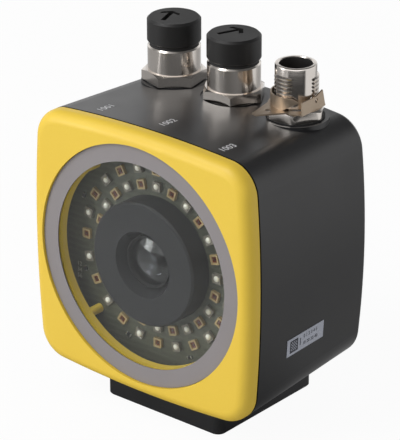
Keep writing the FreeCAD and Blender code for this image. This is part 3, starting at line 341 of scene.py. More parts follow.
# A face whose normal passes FACING_UP lies level, and points closer than a HAIR are in line.
FACING_UP, HAIR = 0.9, 0.001 * mm
HEAD_RADIUS, HEAD_HEIGHT, HEAD_BEVEL = 3.5 * mm, 4.0 * mm, 0.4 * mm
SHANK_RADIUS = 2.0 * mm
KEY_RADIUS, KEY_DEPTH = 1.75 * mm, 2.0 * mm
SCREW_SHIFT = 12 * mm
head_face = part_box("foot_screws")[0].z
screw_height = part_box("foot_screws")[1].z - head_face
put_down()
bpy.ops.mesh.primitive_cylinder_add(
    vertices=48, radius=HEAD_RADIUS, depth=HEAD_HEIGHT, location=(0, 0, HEAD_HEIGHT / 2))
foot_screw = settled()
pick(foot_screw, "FACE", lambda middle, normal: normal.z > FACING_UP)
bpy.ops.mesh.inset(thickness=HEAD_RADIUS - SHANK_RADIUS)
push_out(screw_height - HEAD_HEIGHT)
pick(foot_screw, "EDGE", lambda a, b: abs(a.z) < HAIR and abs(b.z) < HAIR)
bpy.ops.mesh.bevel(offset=HEAD_BEVEL, segments=3, affect="EDGES")
put_down()
bpy.ops.mesh.primitive_cylinder_add(
    vertices=6, radius=KEY_RADIUS, depth=2 * KEY_DEPTH, location=(0, 0, 0))
carve(foot_screw, bpy.context.object)
paint(foot_screw, steel)
smooth(foot_screw, angle=35)
screw_places = [Matrix.Translation((0, y, head_face)) for y in (-SCREW_SHIFT, SCREW_SHIFT)]
foot_screws = copied(foot_screw, screw_places, "foot_screw_pair")
fix(foot_screws)
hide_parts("foot_screws")


# Board stack: camera, processor, connector and key boards of glass-fibre laminate under a green
# solder mask, on turned spacers, with moulded packages soldered to them.
TRACK_LAYOUT = {"Scale": 95.0, "Mortar Size": 0.035, "Brick Width": 0.9, "Row Height": 0.17}
TRACK_DEPTH, TRACK_RELIEF = 0.5, 0.03 * mm
WEAVE_SCALE, WEAVE_DETAIL, WEAVE_SHARE = 900.0, 2.0, 0.25
MASK_ROUGH = (0.38, 0.52)
board_mask, given, taken = finish_group("board_mask", {
    "Color": "colour", "Track": "colour", "Depth": "number", "Turn": "vector",
})
place = own_place(board_mask)
tracks = board_mask.nodes.new("ShaderNodeTexBrick")
for socket, value in TRACK_LAYOUT.items():
    tracks.inputs[socket].default_value = value
feed(board_mask, mapped(board_mask, place, "Rotation", given["Turn"]), tracks.inputs["Vector"])
raised = tracks.outputs["Fac"]
weave = noise(board_mask, place, WEAVE_SCALE, WEAVE_DETAIL)
faint = between(board_mask, weave, 0.0, WEAVE_SHARE)
masked = blend_colours(board_mask, faint, given["Color"], given["Track"])
put_out(
    board_mask, taken,
    colour=blend_colours(board_mask, raised, masked, given["Track"]),
    roughness=between(board_mask, weave, *MASK_ROUGH),
    normal=bumped(board_mask, raised, given["Depth"], TRACK_RELIEF),
)


def board_finish(name, colour, track, turn):
    return finished(name, board_mask, {
        "Color": screen_colour(*colour), "Track": screen_colour(*track),
        "Depth": TRACK_DEPTH, "Turn": turn,
    })


UPRIGHT_BOARD, FLAT_BOARD = (math.pi / 2, 0, 0), (0, 0, 0)
MASK_GREENS = (38, 62, 40), (52, 84, 54)
stack_mask = board_finish("stack_mask", *MASK_GREENS, UPRIGHT_BOARD)
dress(stack_mask, "camera_board", "processor_board", "key_board")
flat_mask = board_finish("flat_mask", *MASK_GREENS, FLAT_BOARD)
dress(flat_mask, "connector_board")
package_moulding = moulded("package_moulding", (40, 40, 41), (30, 30, 31),
                           grain=4200, rough=(0.45, 0.60), depth=0.25)
dress(package_moulding, "processor_chips", "link_header", "key_switches", "image_sensor")
forward_steel = turned_finish("forward_steel", *STEEL_COLOURS, FORWARD_LATHE,
                              rough=(0.22, 0.36), depth=0.12)
dress(forward_steel, "front_spacers", "rear_spacers", "stack_screws", "led_board_screws",
      "key_board_screws")


# Light board: a round board with a dark olive mask behind the window. Its lamps stand on two
# rings, amber and white turn about, with chip resistors between the outer ring and the bore.
lamp_mask = board_finish("lamp_mask", (68, 70, 57), (80, 82, 68), UPRIGHT_BOARD)
dress(lamp_mask, "led_board")

AXIS_HEIGHT = 45.65 * mm
board_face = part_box("led_board")[0].y
OUTER_RING, INNER_RING = 24.2 * mm, 19.8 * mm
LIKE_LAMPS = [30 * i for i in range(12)]
HALF_STEP = 15
LAMP_SIDE, LAMP_HEIGHT = 2.6 * mm, 0.9 * mm
LAMP_ROUND, POLE_CUT = 0.15 * mm, 0.35 * mm
CAVITY_TAPER = 0.88


def on_board(radius, angle):
    """Gives the place of an upright pattern on the light board, its x axis pointing outward."""
    about_axis = Matrix.Rotation(-math.radians(angle), 4, "Y")
    return (Matrix.Translation((0, board_face, AXIS_HEIGHT)) @ about_axis
            @ Matrix.Translation((radius, 0, 0)) @ Matrix.Rotation(math.pi / 2, 4, "X"))


def paint_faces(piece, material, wanted):
    """Gives the faces that pass the test a further material."""
    piece.data.materials.append(material)
    index = len(piece.data.materials) - 1
    for face in piece.data.polygons:
        if wanted(face.center, face.normal):
            face.material_index = index


def lamp_package(frame_material, wall, cavity):
    """Models a square lamp package with a cavity and rounded edges, one cut to mark its pole."""
    side = LAMP_SIDE / 2 - HAIR

    def upright_edge(a, b):
        return abs(a.z - b.z) > 0.5 * LAMP_HEIGHT and min(abs(a.x), abs(a.y)) > side

    def at_pole(corner):
        return corner.x > 0 and corner.y > 0

    put_down()
    bpy.ops.mesh.primitive_cube_add(
        size=1.0, location=(0, 0, LAMP_HEIGHT / 2), scale=(LAMP_SIDE, LAMP_SIDE, LAMP_HEIGHT))
    package = settled()
    pick(package, "FACE", lambda middle, normal: normal.z > FACING_UP)
    bpy.ops.mesh.inset(thickness=wall)
    push_out(-cavity)
    bpy.ops.transform.resize(
        value=(CAVITY_TAPER, CAVITY_TAPER, 1.0), center_override=(0, 0, LAMP_HEIGHT))
    pick(package, "EDGE", lambda a, b: upright_edge(a, b) and not at_pole(a))
    bpy.ops.mesh.bevel(offset=LAMP_ROUND, segments=3, affect="EDGES")
    pick(package, "EDGE", lambda a, b: upright_edge(a, b) and at_pole(a))
    bpy.ops.mesh.bevel(offset=POLE_CUT, segments=1, affect="EDGES")
    put_down()
    paint(package, frame_material)
    return package


amber_frame = moulded("amber_frame", (190, 166, 122), (164, 140, 98),
                      grain=3000, rough=(0.30, 0.42), depth=0.15)
amber_resin = moulded("amber_resin", (122, 58, 34), (92, 38, 24),
                      grain=900, rough=(0.06, 0.14), depth=0.05, coat=0.6)
amber_die = moulded("amber_die", (70, 26, 18), (52, 20, 14),
                    grain=2400, rough=(0.25, 0.35), depth=0.10)
AMBER_WALL, AMBER_CAVITY = 0.45 * mm, 0.3 * mm
DIE_INSET, DIE_HEIGHT = 0.4 * mm, 0.12 * mm
amber_floor = LAMP_HEIGHT - AMBER_CAVITY


def cavity_floor(middle, normal):
    return normal.z > FACING_UP and middle.z < amber_floor + HAIR


def die_top(middle, normal):
    return normal.z > FACING_UP and HAIR < middle.z - amber_floor < DIE_HEIGHT + HAIR


amber_lamp = lamp_package(amber_frame, AMBER_WALL, AMBER_CAVITY)
paint_faces(amber_lamp, amber_resin, cavity_floor)
pick(amber_lamp, "FACE", cavity_floor)
bpy.ops.mesh.inset(thickness=DIE_INSET)
push_out(DIE_HEIGHT)
put_down()
paint_faces(amber_lamp, amber_die, die_top)
smooth(amber_lamp, angle=30)
amber_places = [on_board(OUTER_RING, angle) for angle in LIKE_LAMPS]
amber_places += [on_board(INNER_RING, angle + HALF_STEP) for angle in LIKE_LAMPS]
amber_lamps = copied(amber_lamp, amber_places, "amber_lamps")
fix(amber_lamps)
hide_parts("amber_leds")

white_frame = moulded("white_frame", (138, 132, 122), (112, 106, 96),
                      grain=3000, rough=(0.30, 0.42), depth=0.15)
white_dome = moulded("white_dome", (250, 247, 238), (238, 232, 216),
                     grain=500, rough=(0.05, 0.12), depth=0.02, coat=1.0)
WHITE_WALL, WHITE_CAVITY = 0.2 * mm, 0.12 * mm
DOME_RADIUS, DOME_ROOT, DOME_SQUEEZE = 0.85 * mm, 0.05 * mm, 0.6
white_floor = LAMP_HEIGHT - WHITE_CAVITY
white_lamp = lamp_package(white_frame, WHITE_WALL, WHITE_CAVITY)
smooth(white_lamp, angle=30)
put_down()
bpy.ops.mesh.primitive_uv_sphere_add(
    segments=24, ring_count=12, radius=DOME_RADIUS, location=(0, 0, white_floor))
dome = settled()
pick(dome, "VERT", lambda corner: True)
bpy.ops.mesh.bisect(plane_co=(0, 0, white_floor - DOME_ROOT), plane_no=(0, 0, 1),
                    clear_inner=True, use_fill=True)
bpy.ops.mesh.select_all(action="SELECT")
bpy.ops.transform.resize(value=(1, 1, DOME_SQUEEZE), center_override=(0, 0, white_floor))
put_down()
paint(dome, white_dome)
smooth(dome, angle=40)
white_lamp = joined([white_lamp, dome], "white_lamp")
white_places = [on_board(OUTER_RING, angle + HALF_STEP) for angle in LIKE_LAMPS]
white_places += [on_board(INNER_RING, angle) for angle in LIKE_LAMPS]
white_lamps = copied(white_lamp, white_places, "white_lamps")
fix(white_lamps)
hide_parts("white_leds")

resistor_body = moulded("resistor_body", (34, 34, 36), (24, 24, 26),
                        grain=3600, rough=(0.30, 0.42), depth=0.15)
resistor_end = turned_finish("resistor_end", (214, 212, 206), (186, 184, 178),
                             (900.0, 900.0, 900.0), rough=(0.25, 0.40), depth=0.2)
RESISTOR_SIZE = (0.8 * mm, 1.6 * mm, 0.5 * mm)
RESISTOR_BEVEL, END_START = 0.06 * mm, 0.5 * mm
RESISTOR_RING, RESISTOR_COUNT = 27.3 * mm, 8
put_down()
bpy.ops.mesh.primitive_cube_add(
    size=1.0, location=(0, 0, RESISTOR_SIZE[2] / 2), scale=RESISTOR_SIZE)
resistor = settled()
pick(resistor, "VERT", lambda corner: True)
for cut in (END_START, -END_START):
    bpy.ops.mesh.select_all(action="SELECT")
    bpy.ops.mesh.bisect(plane_co=(0, cut, 0), plane_no=(0, 1, 0))
put_down()
paint(resistor, resistor_body)
paint_faces(resistor, resistor_end, lambda middle, normal: abs(middle.y) > END_START)
apply_modifier(resistor, "BEVEL", width=RESISTOR_BEVEL, segments=2, limit_method="ANGLE")
resistor_places = [on_board(RESISTOR_RING, (i + 0.5) * 360 / RESISTOR_COUNT)
                   for i in range(RESISTOR_COUNT)]
resistors = copied(resistor, resistor_places, "chip_resistors")
fix(resistors)
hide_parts("led_resistors")


# Lens: a moulded shroud keeps the lamps' light out of the lens. A blackened barrel screws into the
# holder behind it, and a ring clamps the front glass in the barrel.
lens_moulding = moulded("lens_moulding", (38, 38, 40), (32, 32, 34),
                        grain=3000, rough=(0.50, 0.62), depth=0.08, specular=0.2)
dress(lens_moulding, "lens_shroud")
barrel_black = moulded("barrel_black", (30, 30, 31), (24, 24, 25),
                       grain=3800, rough=(0.50, 0.62), depth=0.10, specular=0.15)
dress(barrel_black, "lens_barrel", "lens_ring", "lens_holder")
SMUDGE_SCALE, SMUDGE_DETAIL, SMUDGE_ROUGH = 140.0, 3.0, 0.006


def clear_material(name, tint, index, passing_tint):
    """Makes clear glass or plastic that the lamps' light and spread light pass straight through."""
    material = bpy.data.materials.new(name)
    material.use_nodes = True
    tree = material.node_tree
    shader = tree.nodes["Principled BSDF"]
    smudges = noise(tree, own_place(tree), SMUDGE_SCALE, SMUDGE_DETAIL)
    feed(tree, between(tree, smudges, 0.0, SMUDGE_ROUGH), shader.inputs["Roughness"])
    feed(tree, screen_colour(*tint), shader.inputs["Base Color"])
    feed(tree, 1.0, shader.inputs["Transmission Weight"])
    feed(tree, index, shader.inputs["IOR"])
    passing = tree.nodes.new("ShaderNodeBsdfTransparent")
    feed(tree, screen_colour(*passing_tint), passing.inputs["Color"])
    path = tree.nodes.new("ShaderNodeLightPath")
    surface = shader.outputs["BSDF"]
    for ray in ("Is Diffuse Ray", "Is Shadow Ray"):
        mix = tree.nodes.new("ShaderNodeMixShader")
        feed(tree, path.outputs[ray], mix.inputs["Fac"])
        feed(tree, surface, mix.inputs[1])
        feed(tree, passing.outputs["BSDF"], mix.inputs[2])
        surface = mix.outputs["Shader"]
    feed(tree, surface, tree.nodes["Material Output"].inputs["Surface"])
    return material


GLASS_TINT, GLASS_INDEX = (178, 182, 192), 1.52
lens_glass = clear_material("lens_glass", GLASS_TINT, GLASS_INDEX, GLASS_TINT)
dress(lens_glass, "rear_lens")
WELD = 0.0001 * mm


def wire_piece(points):
    """Draws a wire through points of radius and height, one extruded corner at a time."""
    put_down()
    bpy.ops.mesh.primitive_plane_add(size=mm, location=(0, 0, 0))
    piece = bpy.context.object
    pick(piece, "VERT", lambda corner: not (corner.x < 0 and corner.y < 0))
    bpy.ops.mesh.delete(type="VERT")
    bpy.ops.mesh.select_all(action="SELECT")
    at = Vector((-mm / 2, -mm / 2, 0))
    for i, (radius, height) in enumerate(points):
        goal = Vector((radius, 0, height))
        if i == 0:
            bpy.ops.transform.translate(value=goal - at)
        else:
            bpy.ops.mesh.extrude_region_move(TRANSFORM_OT_translate={"value": goal - at})
        at = goal
    return piece


def weld():
    bpy.ops.mesh.select_all(action="SELECT")
    bpy.ops.mesh.remove_doubles(threshold=WELD)


def spun_piece(points, steps, closed=True):
    """Turns an outline about the upright axis. One that isn't closed starts and ends on it."""
    piece = wire_piece(points + points[:1] if closed else points)
    weld()
    bpy.ops.mesh.select_all(action="SELECT")
    bpy.ops.mesh.spin(steps=steps, angle=2 * math.pi, center=(0, 0, 0), axis=(0, 0, 1))
    weld()
    bpy.ops.mesh.normals_make_consistent(inside=False)
    put_down()
    return piece


def bowed(radius, height, sag, count):
    """Gives points on a spherical bow, from the axis out to a radius, where it ends at a height."""
    curve = (radius ** 2 + sag ** 2) / (2 * abs(sag))
    points = []
    for i in range(count + 1):
        out = radius * i / count
        drop = curve - math.sqrt(curve ** 2 - out ** 2)
        points.append((out, height - sag + math.copysign(drop, sag)))
    return points


FRONT_SAG, FRONT_LAND = 1.5 * mm, 0.4 * mm
BACK_SAG, BACK_RADIUS = 0.8 * mm, 3.7 * mm
glass_front, glass_back = (corner.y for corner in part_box("front_lens"))
glass_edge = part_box("front_lens")[1].x
shoulder = glass_front + FRONT_SAG
front_bow = bowed(glass_edge - FRONT_LAND, shoulder, FRONT_SAG, count=14)
back_bow = bowed(BACK_RADIUS, glass_back, -BACK_SAG, count=9)
glass_rim = [(glass_edge, shoulder), (glass_edge, glass_back)]
front_glass = spun_piece(front_bow + glass_rim + back_bow[::-1], steps=72, closed=False)
facing_back = Matrix.Rotation(-math.pi / 2, 4, "X")
set_place(front_glass, Matrix.Translation((0, 0, AXIS_HEIGHT)) @ facing_back)
paint(front_glass, lens_glass)
front_glass.name = "front_glass"
smooth(front_glass, angle=25)
fix(front_glass)
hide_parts("front_lens")


# Front: a satin yellow bezel is bonded to the housing over a black strip. The clear window lies in
# its recess, and a grey gasket ring lies over the window's edge.
yellow_moulding = moulded("yellow_moulding", (234, 200, 66), (226, 190, 58),
                          grain=2600, rough=(0.42, 0.50), depth=0.16)
dress(yellow_moulding, "front_bezel")
black_rubber = moulded("black_rubber", (24, 24, 25), (18, 18, 19),
                       grain=3200, rough=(0.60, 0.75), depth=0.25)
dress(black_rubber, "bezel_gasket", "port_seal_1", "port_seal_2", "port_seal_main",
      "port_cap_seal_1", "port_cap_seal_2")
grey_gasket = moulded("grey_gasket", (138, 133, 134), (130, 125, 126),
                      grain=3000, rough=(0.55, 0.68), depth=0.15)
dress(grey_gasket, "window_gasket")
WINDOW_INDEX = 1.30
window_plastic = clear_material("window_plastic", (250, 252, 251), WINDOW_INDEX, (246, 248, 247))
dress(window_plastic, "window")


# Ports: shells turned from hexagon brass and nickel plated, each with a moulded carrier and gilt
# contacts, screwed through the housing's top and held by a nut from inside.
nickel = turned_finish("nickel", (218, 212, 206), (204, 197, 190), UPRIGHT_LATHE,
                       rough=(0.14, 0.19), depth=0.004)
dress(nickel, "socket_shell_1", "socket_shell_2", "port_nuts")
carrier_moulding = moulded("carrier_moulding", (36, 35, 35), (26, 25, 25),
                           grain=3000, rough=(0.42, 0.55), depth=0.2)
dress(carrier_moulding, "socket_insert_1", "socket_insert_2", "plug_insert")
contact_gilt = turned_finish("contact_gilt", (226, 190, 112), (204, 166, 92), UPRIGHT_LATHE,
                             rough=(0.14, 0.24), depth=0.06)
dress(contact_gilt, "socket_contacts_1", "socket_contacts_2", "plug_pins")


# Caps: black mouldings with an arrow sunk into the top. Each screws into its socket by a tubular
# stud, with a seal ring under its neck, and the stud's thread shows when the cap is screwed out.
cap_moulding = moulded("cap_moulding", (21, 20, 20), (16, 15, 15),
                       grain=2400, rough=(0.46, 0.58), depth=0.24, specular=0.42)
dress(cap_moulding, "port_cap_1", "port_cap_2")
PITCH = 1.0 * mm
THREAD_SINK = 0.1 * mm
STUD, STUD_CREST = 5.25 * mm, 5.48 * mm
STUD_FLANK, STUD_LAND = 0.3 * mm, 0.1 * mm
STUD_TURNS, STUD_START = 3.5, 0.2 * mm


def tooth_outline(core, crest, flank, land):
    """Draws one tooth of a thread, with its foot sunk into the core."""
    foot = core - THREAD_SINK
    return [(foot, 0.0), (crest, flank), (crest, flank + land), (foot, 2 * flank + land)]


def swept_piece(points, angle, rise, steps):
    """Sweeps a closed outline round the upright axis while it climbs, and closes its ends."""
    piece = wire_piece(points + points[:1])
    weld()
    put_down()
    apply_modifier(piece, "SCREW", angle=math.radians(angle), screw_offset=rise, steps=steps,
                   render_steps=steps, use_merge_vertices=False, use_normal_calculate=False)
    pick(piece, "VERT", lambda corner: True)
    bpy.ops.mesh.fill_holes(sides=0)
    bpy.ops.mesh.select_all(action="SELECT")
    bpy.ops.mesh.normals_make_consistent(inside=False)
    put_down()
    return piece


stud_thread = swept_piece(tooth_outline(STUD, STUD_CREST, STUD_FLANK, STUD_LAND),
                          angle=360 * STUD_TURNS, rise=PITCH * STUD_TURNS, steps=168)
paint(stud_thread, cap_moulding)
smooth(stud_thread, angle=28)
for port in ("1", "2"):
    cap_low, cap_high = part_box(f"port_cap_{port}")
    middle = (cap_low + cap_high) / 2
    thread_start = Matrix.Translation((middle.x, middle.y, cap_low.z + STUD_START))
    cap_thread = copy_at(stud_thread, thread_start)
    cap_thread.name = f"cap_thread_{port}"
    fix(cap_thread, f"cap_{port}")
bpy.data.objects.remove(stud_thread)


# Main plug: turned like the sockets, with a 12 mm thread of 1 mm pitch between its hexagon and its
# rim. Three flats milled down to the core break the thread into sectors, so that it plugs in with
# one short turn. The carrier's moulding lines its bore.
PLUG_X, PORT_Y, SEAT = 20.2 * mm, 9.9 * mm, 80.65 * mm
CREST, ROOT, BORE = 5.95 * mm, 5.4 * mm, 4.3 * mm
TAIL, TAIL_BORE = 6.0 * mm, 4.6 * mm
NECK, NECK_SLOPE = 0.1 * mm, 0.4 * mm
RIM_LIP, RIM_IN, RIM_DROP = 0.1 * mm, 0.35 * mm, 0.4 * mm
BORE_BEVEL = 0.2 * mm
plug_low, plug_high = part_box("plug_shell")
hex_base, hex_top, rim = SEAT + 0.3 * mm, SEAT + 3.0 * mm, plug_high.z
plug_core = spun_piece([
    (TAIL_BORE, plug_low.z), (TAIL, plug_low.z), (TAIL, hex_base), (CREST, hex_base),
    (CREST, hex_top + NECK), (ROOT, hex_top + NECK + NECK_SLOPE), (ROOT, rim - RIM_DROP),
    (ROOT - RIM_LIP, rim - RIM_LIP), (ROOT - RIM_IN, rim), (BORE + BORE_BEVEL, rim),
    (BORE, rim - BORE_BEVEL), (BORE, hex_base), (TAIL_BORE, hex_base),
], steps=96)

SECTORS, SECTOR_SPAN, FIRST_SECTOR = 3, 58, 1
THREAD_TURNS, THREAD_START = 8, 0.35 * mm
TOOTH_FLANK, TOOTH_LAND = 0.36 * mm, 0.24 * mm
tooth = swept_piece(tooth_outline(ROOT, CREST, TOOTH_FLANK, TOOTH_LAND),
                    angle=SECTOR_SPAN, rise=PITCH * SECTOR_SPAN / 360, steps=16)
tooth_places = []
for turn in range(THREAD_TURNS):
    for sector in range(SECTORS):
        height = hex_top + THREAD_START + PITCH * (turn + sector / SECTORS)
        around = Matrix.Rotation(math.radians(FIRST_SECTOR + 360 * sector / SECTORS), 4, "Z")
        tooth_places.append(Matrix.Translation((0, 0, height)) @ around)
plug_thread = copied(tooth, tooth_places, "plug_thread")

HEX_ACROSS, HEX_TURN, HEX_ROUND = 14 * mm, -87, 0.75 * mm
FACE_RADIUS, OVER_CORNERS, CORNER_DROP = 6.95 * mm, 8.3 * mm, 0.7 * mm
HEX_BORE, HEX_BEVEL = CREST - 0.5 * mm, 0.07 * mm
put_down()
bpy.ops.mesh.primitive_cylinder_add(
    vertices=6, radius=HEX_ACROSS / math.sqrt(3), depth=hex_top - hex_base,
    location=(0, 0, (hex_base + hex_top) / 2), rotation=(0, 0, math.radians(HEX_TURN)))
plug_hex = settled()
pick(plug_hex, "EDGE", lambda a, b: abs(a.z - b.z) > mm)
bpy.ops.mesh.bevel(offset=HEX_ROUND, segments=3, affect="EDGES")
put_down()
facing = spun_piece([
    (HEX_BORE, hex_base), (OVER_CORNERS, hex_base), (OVER_CORNERS, hex_top - CORNER_DROP),
    (FACE_RADIUS, hex_top), (HEX_BORE, hex_top),
], steps=96)
carve(plug_hex, facing, "INTERSECT")
apply_modifier(plug_hex, "BEVEL", width=HEX_BEVEL, segments=2, limit_method="ANGLE",
               angle_limit=math.radians(25))


def lines_bore(middle, normal):
    return math.hypot(middle.x, middle.y) < BORE + 0.05 * mm


plug_parts = [plug_core, plug_thread, plug_hex]
for part in plug_parts:
    paint(part, nickel)
paint_faces(plug_core, carrier_moulding, lines_bore)
for part in plug_parts:
    smooth(part, angle=28)
plug = joined(plug_parts, "threaded_plug")
on_plug = Matrix.Translation((PLUG_X, PORT_Y, 0))
set_place(plug, on_plug)
fix(plug)
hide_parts("plug_shell")


# Earth clip: stamped from spring bronze and slipped over the plug's thread onto its hexagon. A
# collar rolled up from the same sheet grips the thread, and ends in a tongue at the front.
clip_bronze = turned_finish("clip_bronze", (180, 164, 146), (160, 144, 126),
                            (700.0, 90.0, 700.0), rough=(0.34, 0.46), depth=0.06)
dress(clip_bronze, "earth_clip")
COLLAR_HOLE, COLLAR_OUTSIDE, COLLAR_BEVEL = 6.1 * mm, 6.45 * mm, 0.06 * mm
COLLAR_START, COLLAR_SPAN = 100, 222
COLLAR_GAP, COLLAR_HEIGHT = 0.4 * mm, 3.3 * mm
collar_low = hex_top + COLLAR_GAP
collar_high = collar_low + COLLAR_HEIGHT
collar = swept_piece([
    (COLLAR_HOLE, collar_low), (COLLAR_OUTSIDE, collar_low),
    (COLLAR_OUTSIDE, collar_high), (COLLAR_HOLE, collar_high),
], angle=COLLAR_SPAN, rise=0.0, steps=74)
set_place(collar, Matrix.Rotation(math.radians(COLLAR_START), 4, "Z"))


def trim_tongue(angle, height, slope, side):
    """Cuts the collar's end along a slope from this angle and height, below it or above it."""
    turn = math.radians(angle)
    block = 12 * mm
    start = Vector((COLLAR_OUTSIDE * math.cos(turn), COLLAR_OUTSIDE * math.sin(turn), height))
    put_down()
    bpy.ops.mesh.primitive_cube_add(size=block, location=(0, 0, 0))
    cutter = bpy.context.object
    to_start = Matrix.Translation((0, block / 2, side * block / 2))
    tilt = Matrix.Rotation(math.radians(slope), 4, "X")
    set_place(cutter, Matrix.Translation(start) @ Matrix.Rotation(turn, 4, "Z") @ tilt @ to_start)
    carve(collar, cutter)


trim_tongue(angle=-83, height=collar_low, slope=29, side=-1)
trim_tongue(angle=-59, height=collar_high, slope=-30, side=1)
apply_modifier(collar, "BEVEL", width=COLLAR_BEVEL, segments=2, limit_method="ANGLE",
               angle_limit=math.radians(40))
paint(collar, clip_bronze)
smooth(collar, angle=28)
collar.name = "clip_collar"
set_place(collar, on_plug)
fix(collar)


# Rear keys: two rubbery caps over small switches, and a row of milky guides that bring the status
# lamps' light through the back wall.
key_moulding = moulded("key_moulding", (60, 60, 63), (50, 50, 53),
                       grain=2600, rough=(0.50, 0.62), depth=0.25)
dress(key_moulding, "rear_button_1", "rear_button_2")
guide_plastic = moulded("guide_plastic", (196, 200, 198), (180, 184, 182),
                        grain=800, rough=(0.12, 0.22), depth=0.05, coat=0.5)
dress(guide_plastic, "light_guides", "status_leds")


# Printing: plain numbers in pale ink on the light board and on the housing's top beside each port,
# and a thin film label on the right side with a block of checks and rows of numbers.
INK_LOOK = {"grain": 5200, "rough": (0.55, 0.68), "depth": 0.10}
INK_THICKNESS = 0.02 * mm
white_ink = moulded("white_ink", (224, 224, 226), (206, 206, 208), **INK_LOOK)
label_ink = moulded("label_ink", (62, 64, 72), (50, 52, 60), **INK_LOOK)
board_ink = moulded("board_ink", (196, 198, 184), (176, 178, 164), **INK_LOOK)
label_film = moulded("label_film", (188, 192, 204), (176, 180, 192),
                     grain=2200, rough=(0.36, 0.48), depth=0.08)
dress(label_film, "side_label")


def number(words, size, matrix):
    put_down()
    bpy.ops.object.text_add(location=(0, 0, 0))
    text = bpy.context.object
    text.data.body = words
    text.data.size = size
    text.data.align_x = "CENTER"
    text.data.align_y = "CENTER"
    text.data.resolution_u = 4
    bpy.ops.object.convert(target="MESH")
    text = bpy.context.object
    set_place(text, matrix)
    return text


def ink(piece, colour, name):
    """Gives flat print the ink's own thickness and colour."""
    apply_modifier(piece, "SOLIDIFY", thickness=INK_THICKNESS, offset=1.0)
    paint(piece, colour)
    piece.name = name


def printed(piece, target, axis, colour, name):
    """Lays flat print on the node below it and inks it."""
    way = {"use_project_x": axis == "x", "use_project_z": axis == "z"}
    apply_modifier(piece, "SHRINKWRAP", wrap_method="PROJECT", target=nodes[target],
                   offset=INK_THICKNESS, use_positive_direction=False,
                   use_negative_direction=True, **way)
    ink(piece, colour, name)


BOARD_NUMBER_SIZE, BOARD_NUMBER_X, BOARD_NUMBER_Z = 1.7 * mm, -27.6 * mm, 34.0 * mm
on_face = Matrix.Translation((BOARD_NUMBER_X, board_face, BOARD_NUMBER_Z))
upright = Matrix.Rotation(math.pi / 2, 4, "X")
board_number = number("12\n34\n56", BOARD_NUMBER_SIZE, on_face @ upright)
ink(board_number, board_ink, "board_number")
fix(board_number)

TOP_NUMBER_SIZE, ABOVE_TOP = 2.9 * mm, 86 * mm
TOP_NUMBERS = (
    ("1", "1001", -18.85 * mm, -18.5 * mm),
    ("2", "1002", 0.65 * mm, -17.0 * mm),
    ("3", "1003", 21.8 * mm, -19.0 * mm),
)
along_depth = Matrix.Rotation(math.pi / 2, 4, "Z")
for name, words, x, y in TOP_NUMBERS:
    mark = number(words, TOP_NUMBER_SIZE, Matrix.Translation((x, y, ABOVE_TOP)) @ along_depth)
    printed(mark, "housing", "z", white_ink, f"top_number_{name}")
    fix(mark)

label_low, label_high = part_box("side_label")
label_middle = (label_low + label_high) / 2
outside = label_high.x + 4 * mm
facing_side = along_depth @ upright


def on_label(along, up):
    return Matrix.Translation((outside, label_low.y + along, label_middle.z + up)) @ facing_side


CHECK_BLOCK, CHECK_COUNT = 3.4 * mm, 9
CHECKS_ALONG = 2.9 * mm
cell = CHECK_BLOCK / CHECK_COUNT


def bare_cell(middle, normal):
    """Finds every other cell inside a full border."""
    column, row = (round((value + CHECK_BLOCK / 2) / cell - 0.5) for value in middle.xy)
    border = CHECK_COUNT - 1
    return (column + row) % 2 == 1 and 0 < column < border and 0 < row < border


put_down()
bpy.ops.mesh.primitive_grid_add(
    x_subdivisions=CHECK_COUNT, y_subdivisions=CHECK_COUNT, size=CHECK_BLOCK, location=(0, 0, 0))
checks = bpy.context.object
pick(checks, "FACE", bare_cell)
bpy.ops.mesh.delete(type="FACE")
set_place(checks, on_label(CHECKS_ALONG, 0.0))
printed(checks, "side_label", "x", label_ink, "label_checks")
fix(checks)
LABEL_NUMBERS = (
    ("a", "0 1 2 3 4 5", 1.35 * mm, 9.9 * mm, 1.1 * mm),
    ("b", "10 20 30 40", 1.35 * mm, 9.9 * mm, -0.9 * mm),
    ("c", "1", 3.0 * mm, 5.6 * mm, 0.0),
)
for name, words, size, along, up in LABEL_NUMBERS:
    row = number(words, size, on_label(along, up))
    printed(row, "side_label", "x", label_ink, f"label_number_{name}")
    fix(row)


# Studio: a plain floor that runs out of view, and an even surround. The camera sees both as white,
# and polished faces mirror them shaded, as in a light tent. One broad soft lamp stands high at
# the front left, and a smaller one low beside it.
FLOOR_SIZE, FLOOR_DROP = 12.0, 0.1 * mm
FIBRE_SCALE, FIBRE_DETAIL = 300.0, 2.0
put_down()
bpy.ops.mesh.primitive_plane_add(size=FLOOR_SIZE, location=(0, 0, -FLOOR_DROP))
floor = bpy.context.object
floor.name = "studio_floor"
floor_paper = bpy.data.materials.new("floor_paper")
floor_paper.use_nodes = True
tree = floor_paper.node_tree
paper = tree.nodes["Principled BSDF"]
feed(tree, 0.9, paper.inputs["Roughness"])
feed(tree, 0.0, paper.inputs["Specular IOR Level"])
fibre = noise(tree, own_place(tree), FIBRE_SCALE, FIBRE_DETAIL)
paper_whites = screen_colour(236, 236, 236), screen_colour(232, 232, 232)
feed(tree, blend_colours(tree, fibre, *paper_whites), paper.inputs["Base Color"])


def combined(tree, operation, first, second):
    """Joins two numbers, each a socket or a value."""
    node = tree.nodes.new("ShaderNodeMath")
    node.operation = operation
    for value, socket in zip((first, second), node.inputs):
        feed(tree, value, socket)
    return node.outputs["Value"]


def parts(tree, kind):
    split = tree.nodes.new("ShaderNodeSeparateXYZ")
    feed(tree, tree.nodes.new("ShaderNodeTexCoord").outputs[kind], split.inputs["Vector"])
    return split.outputs


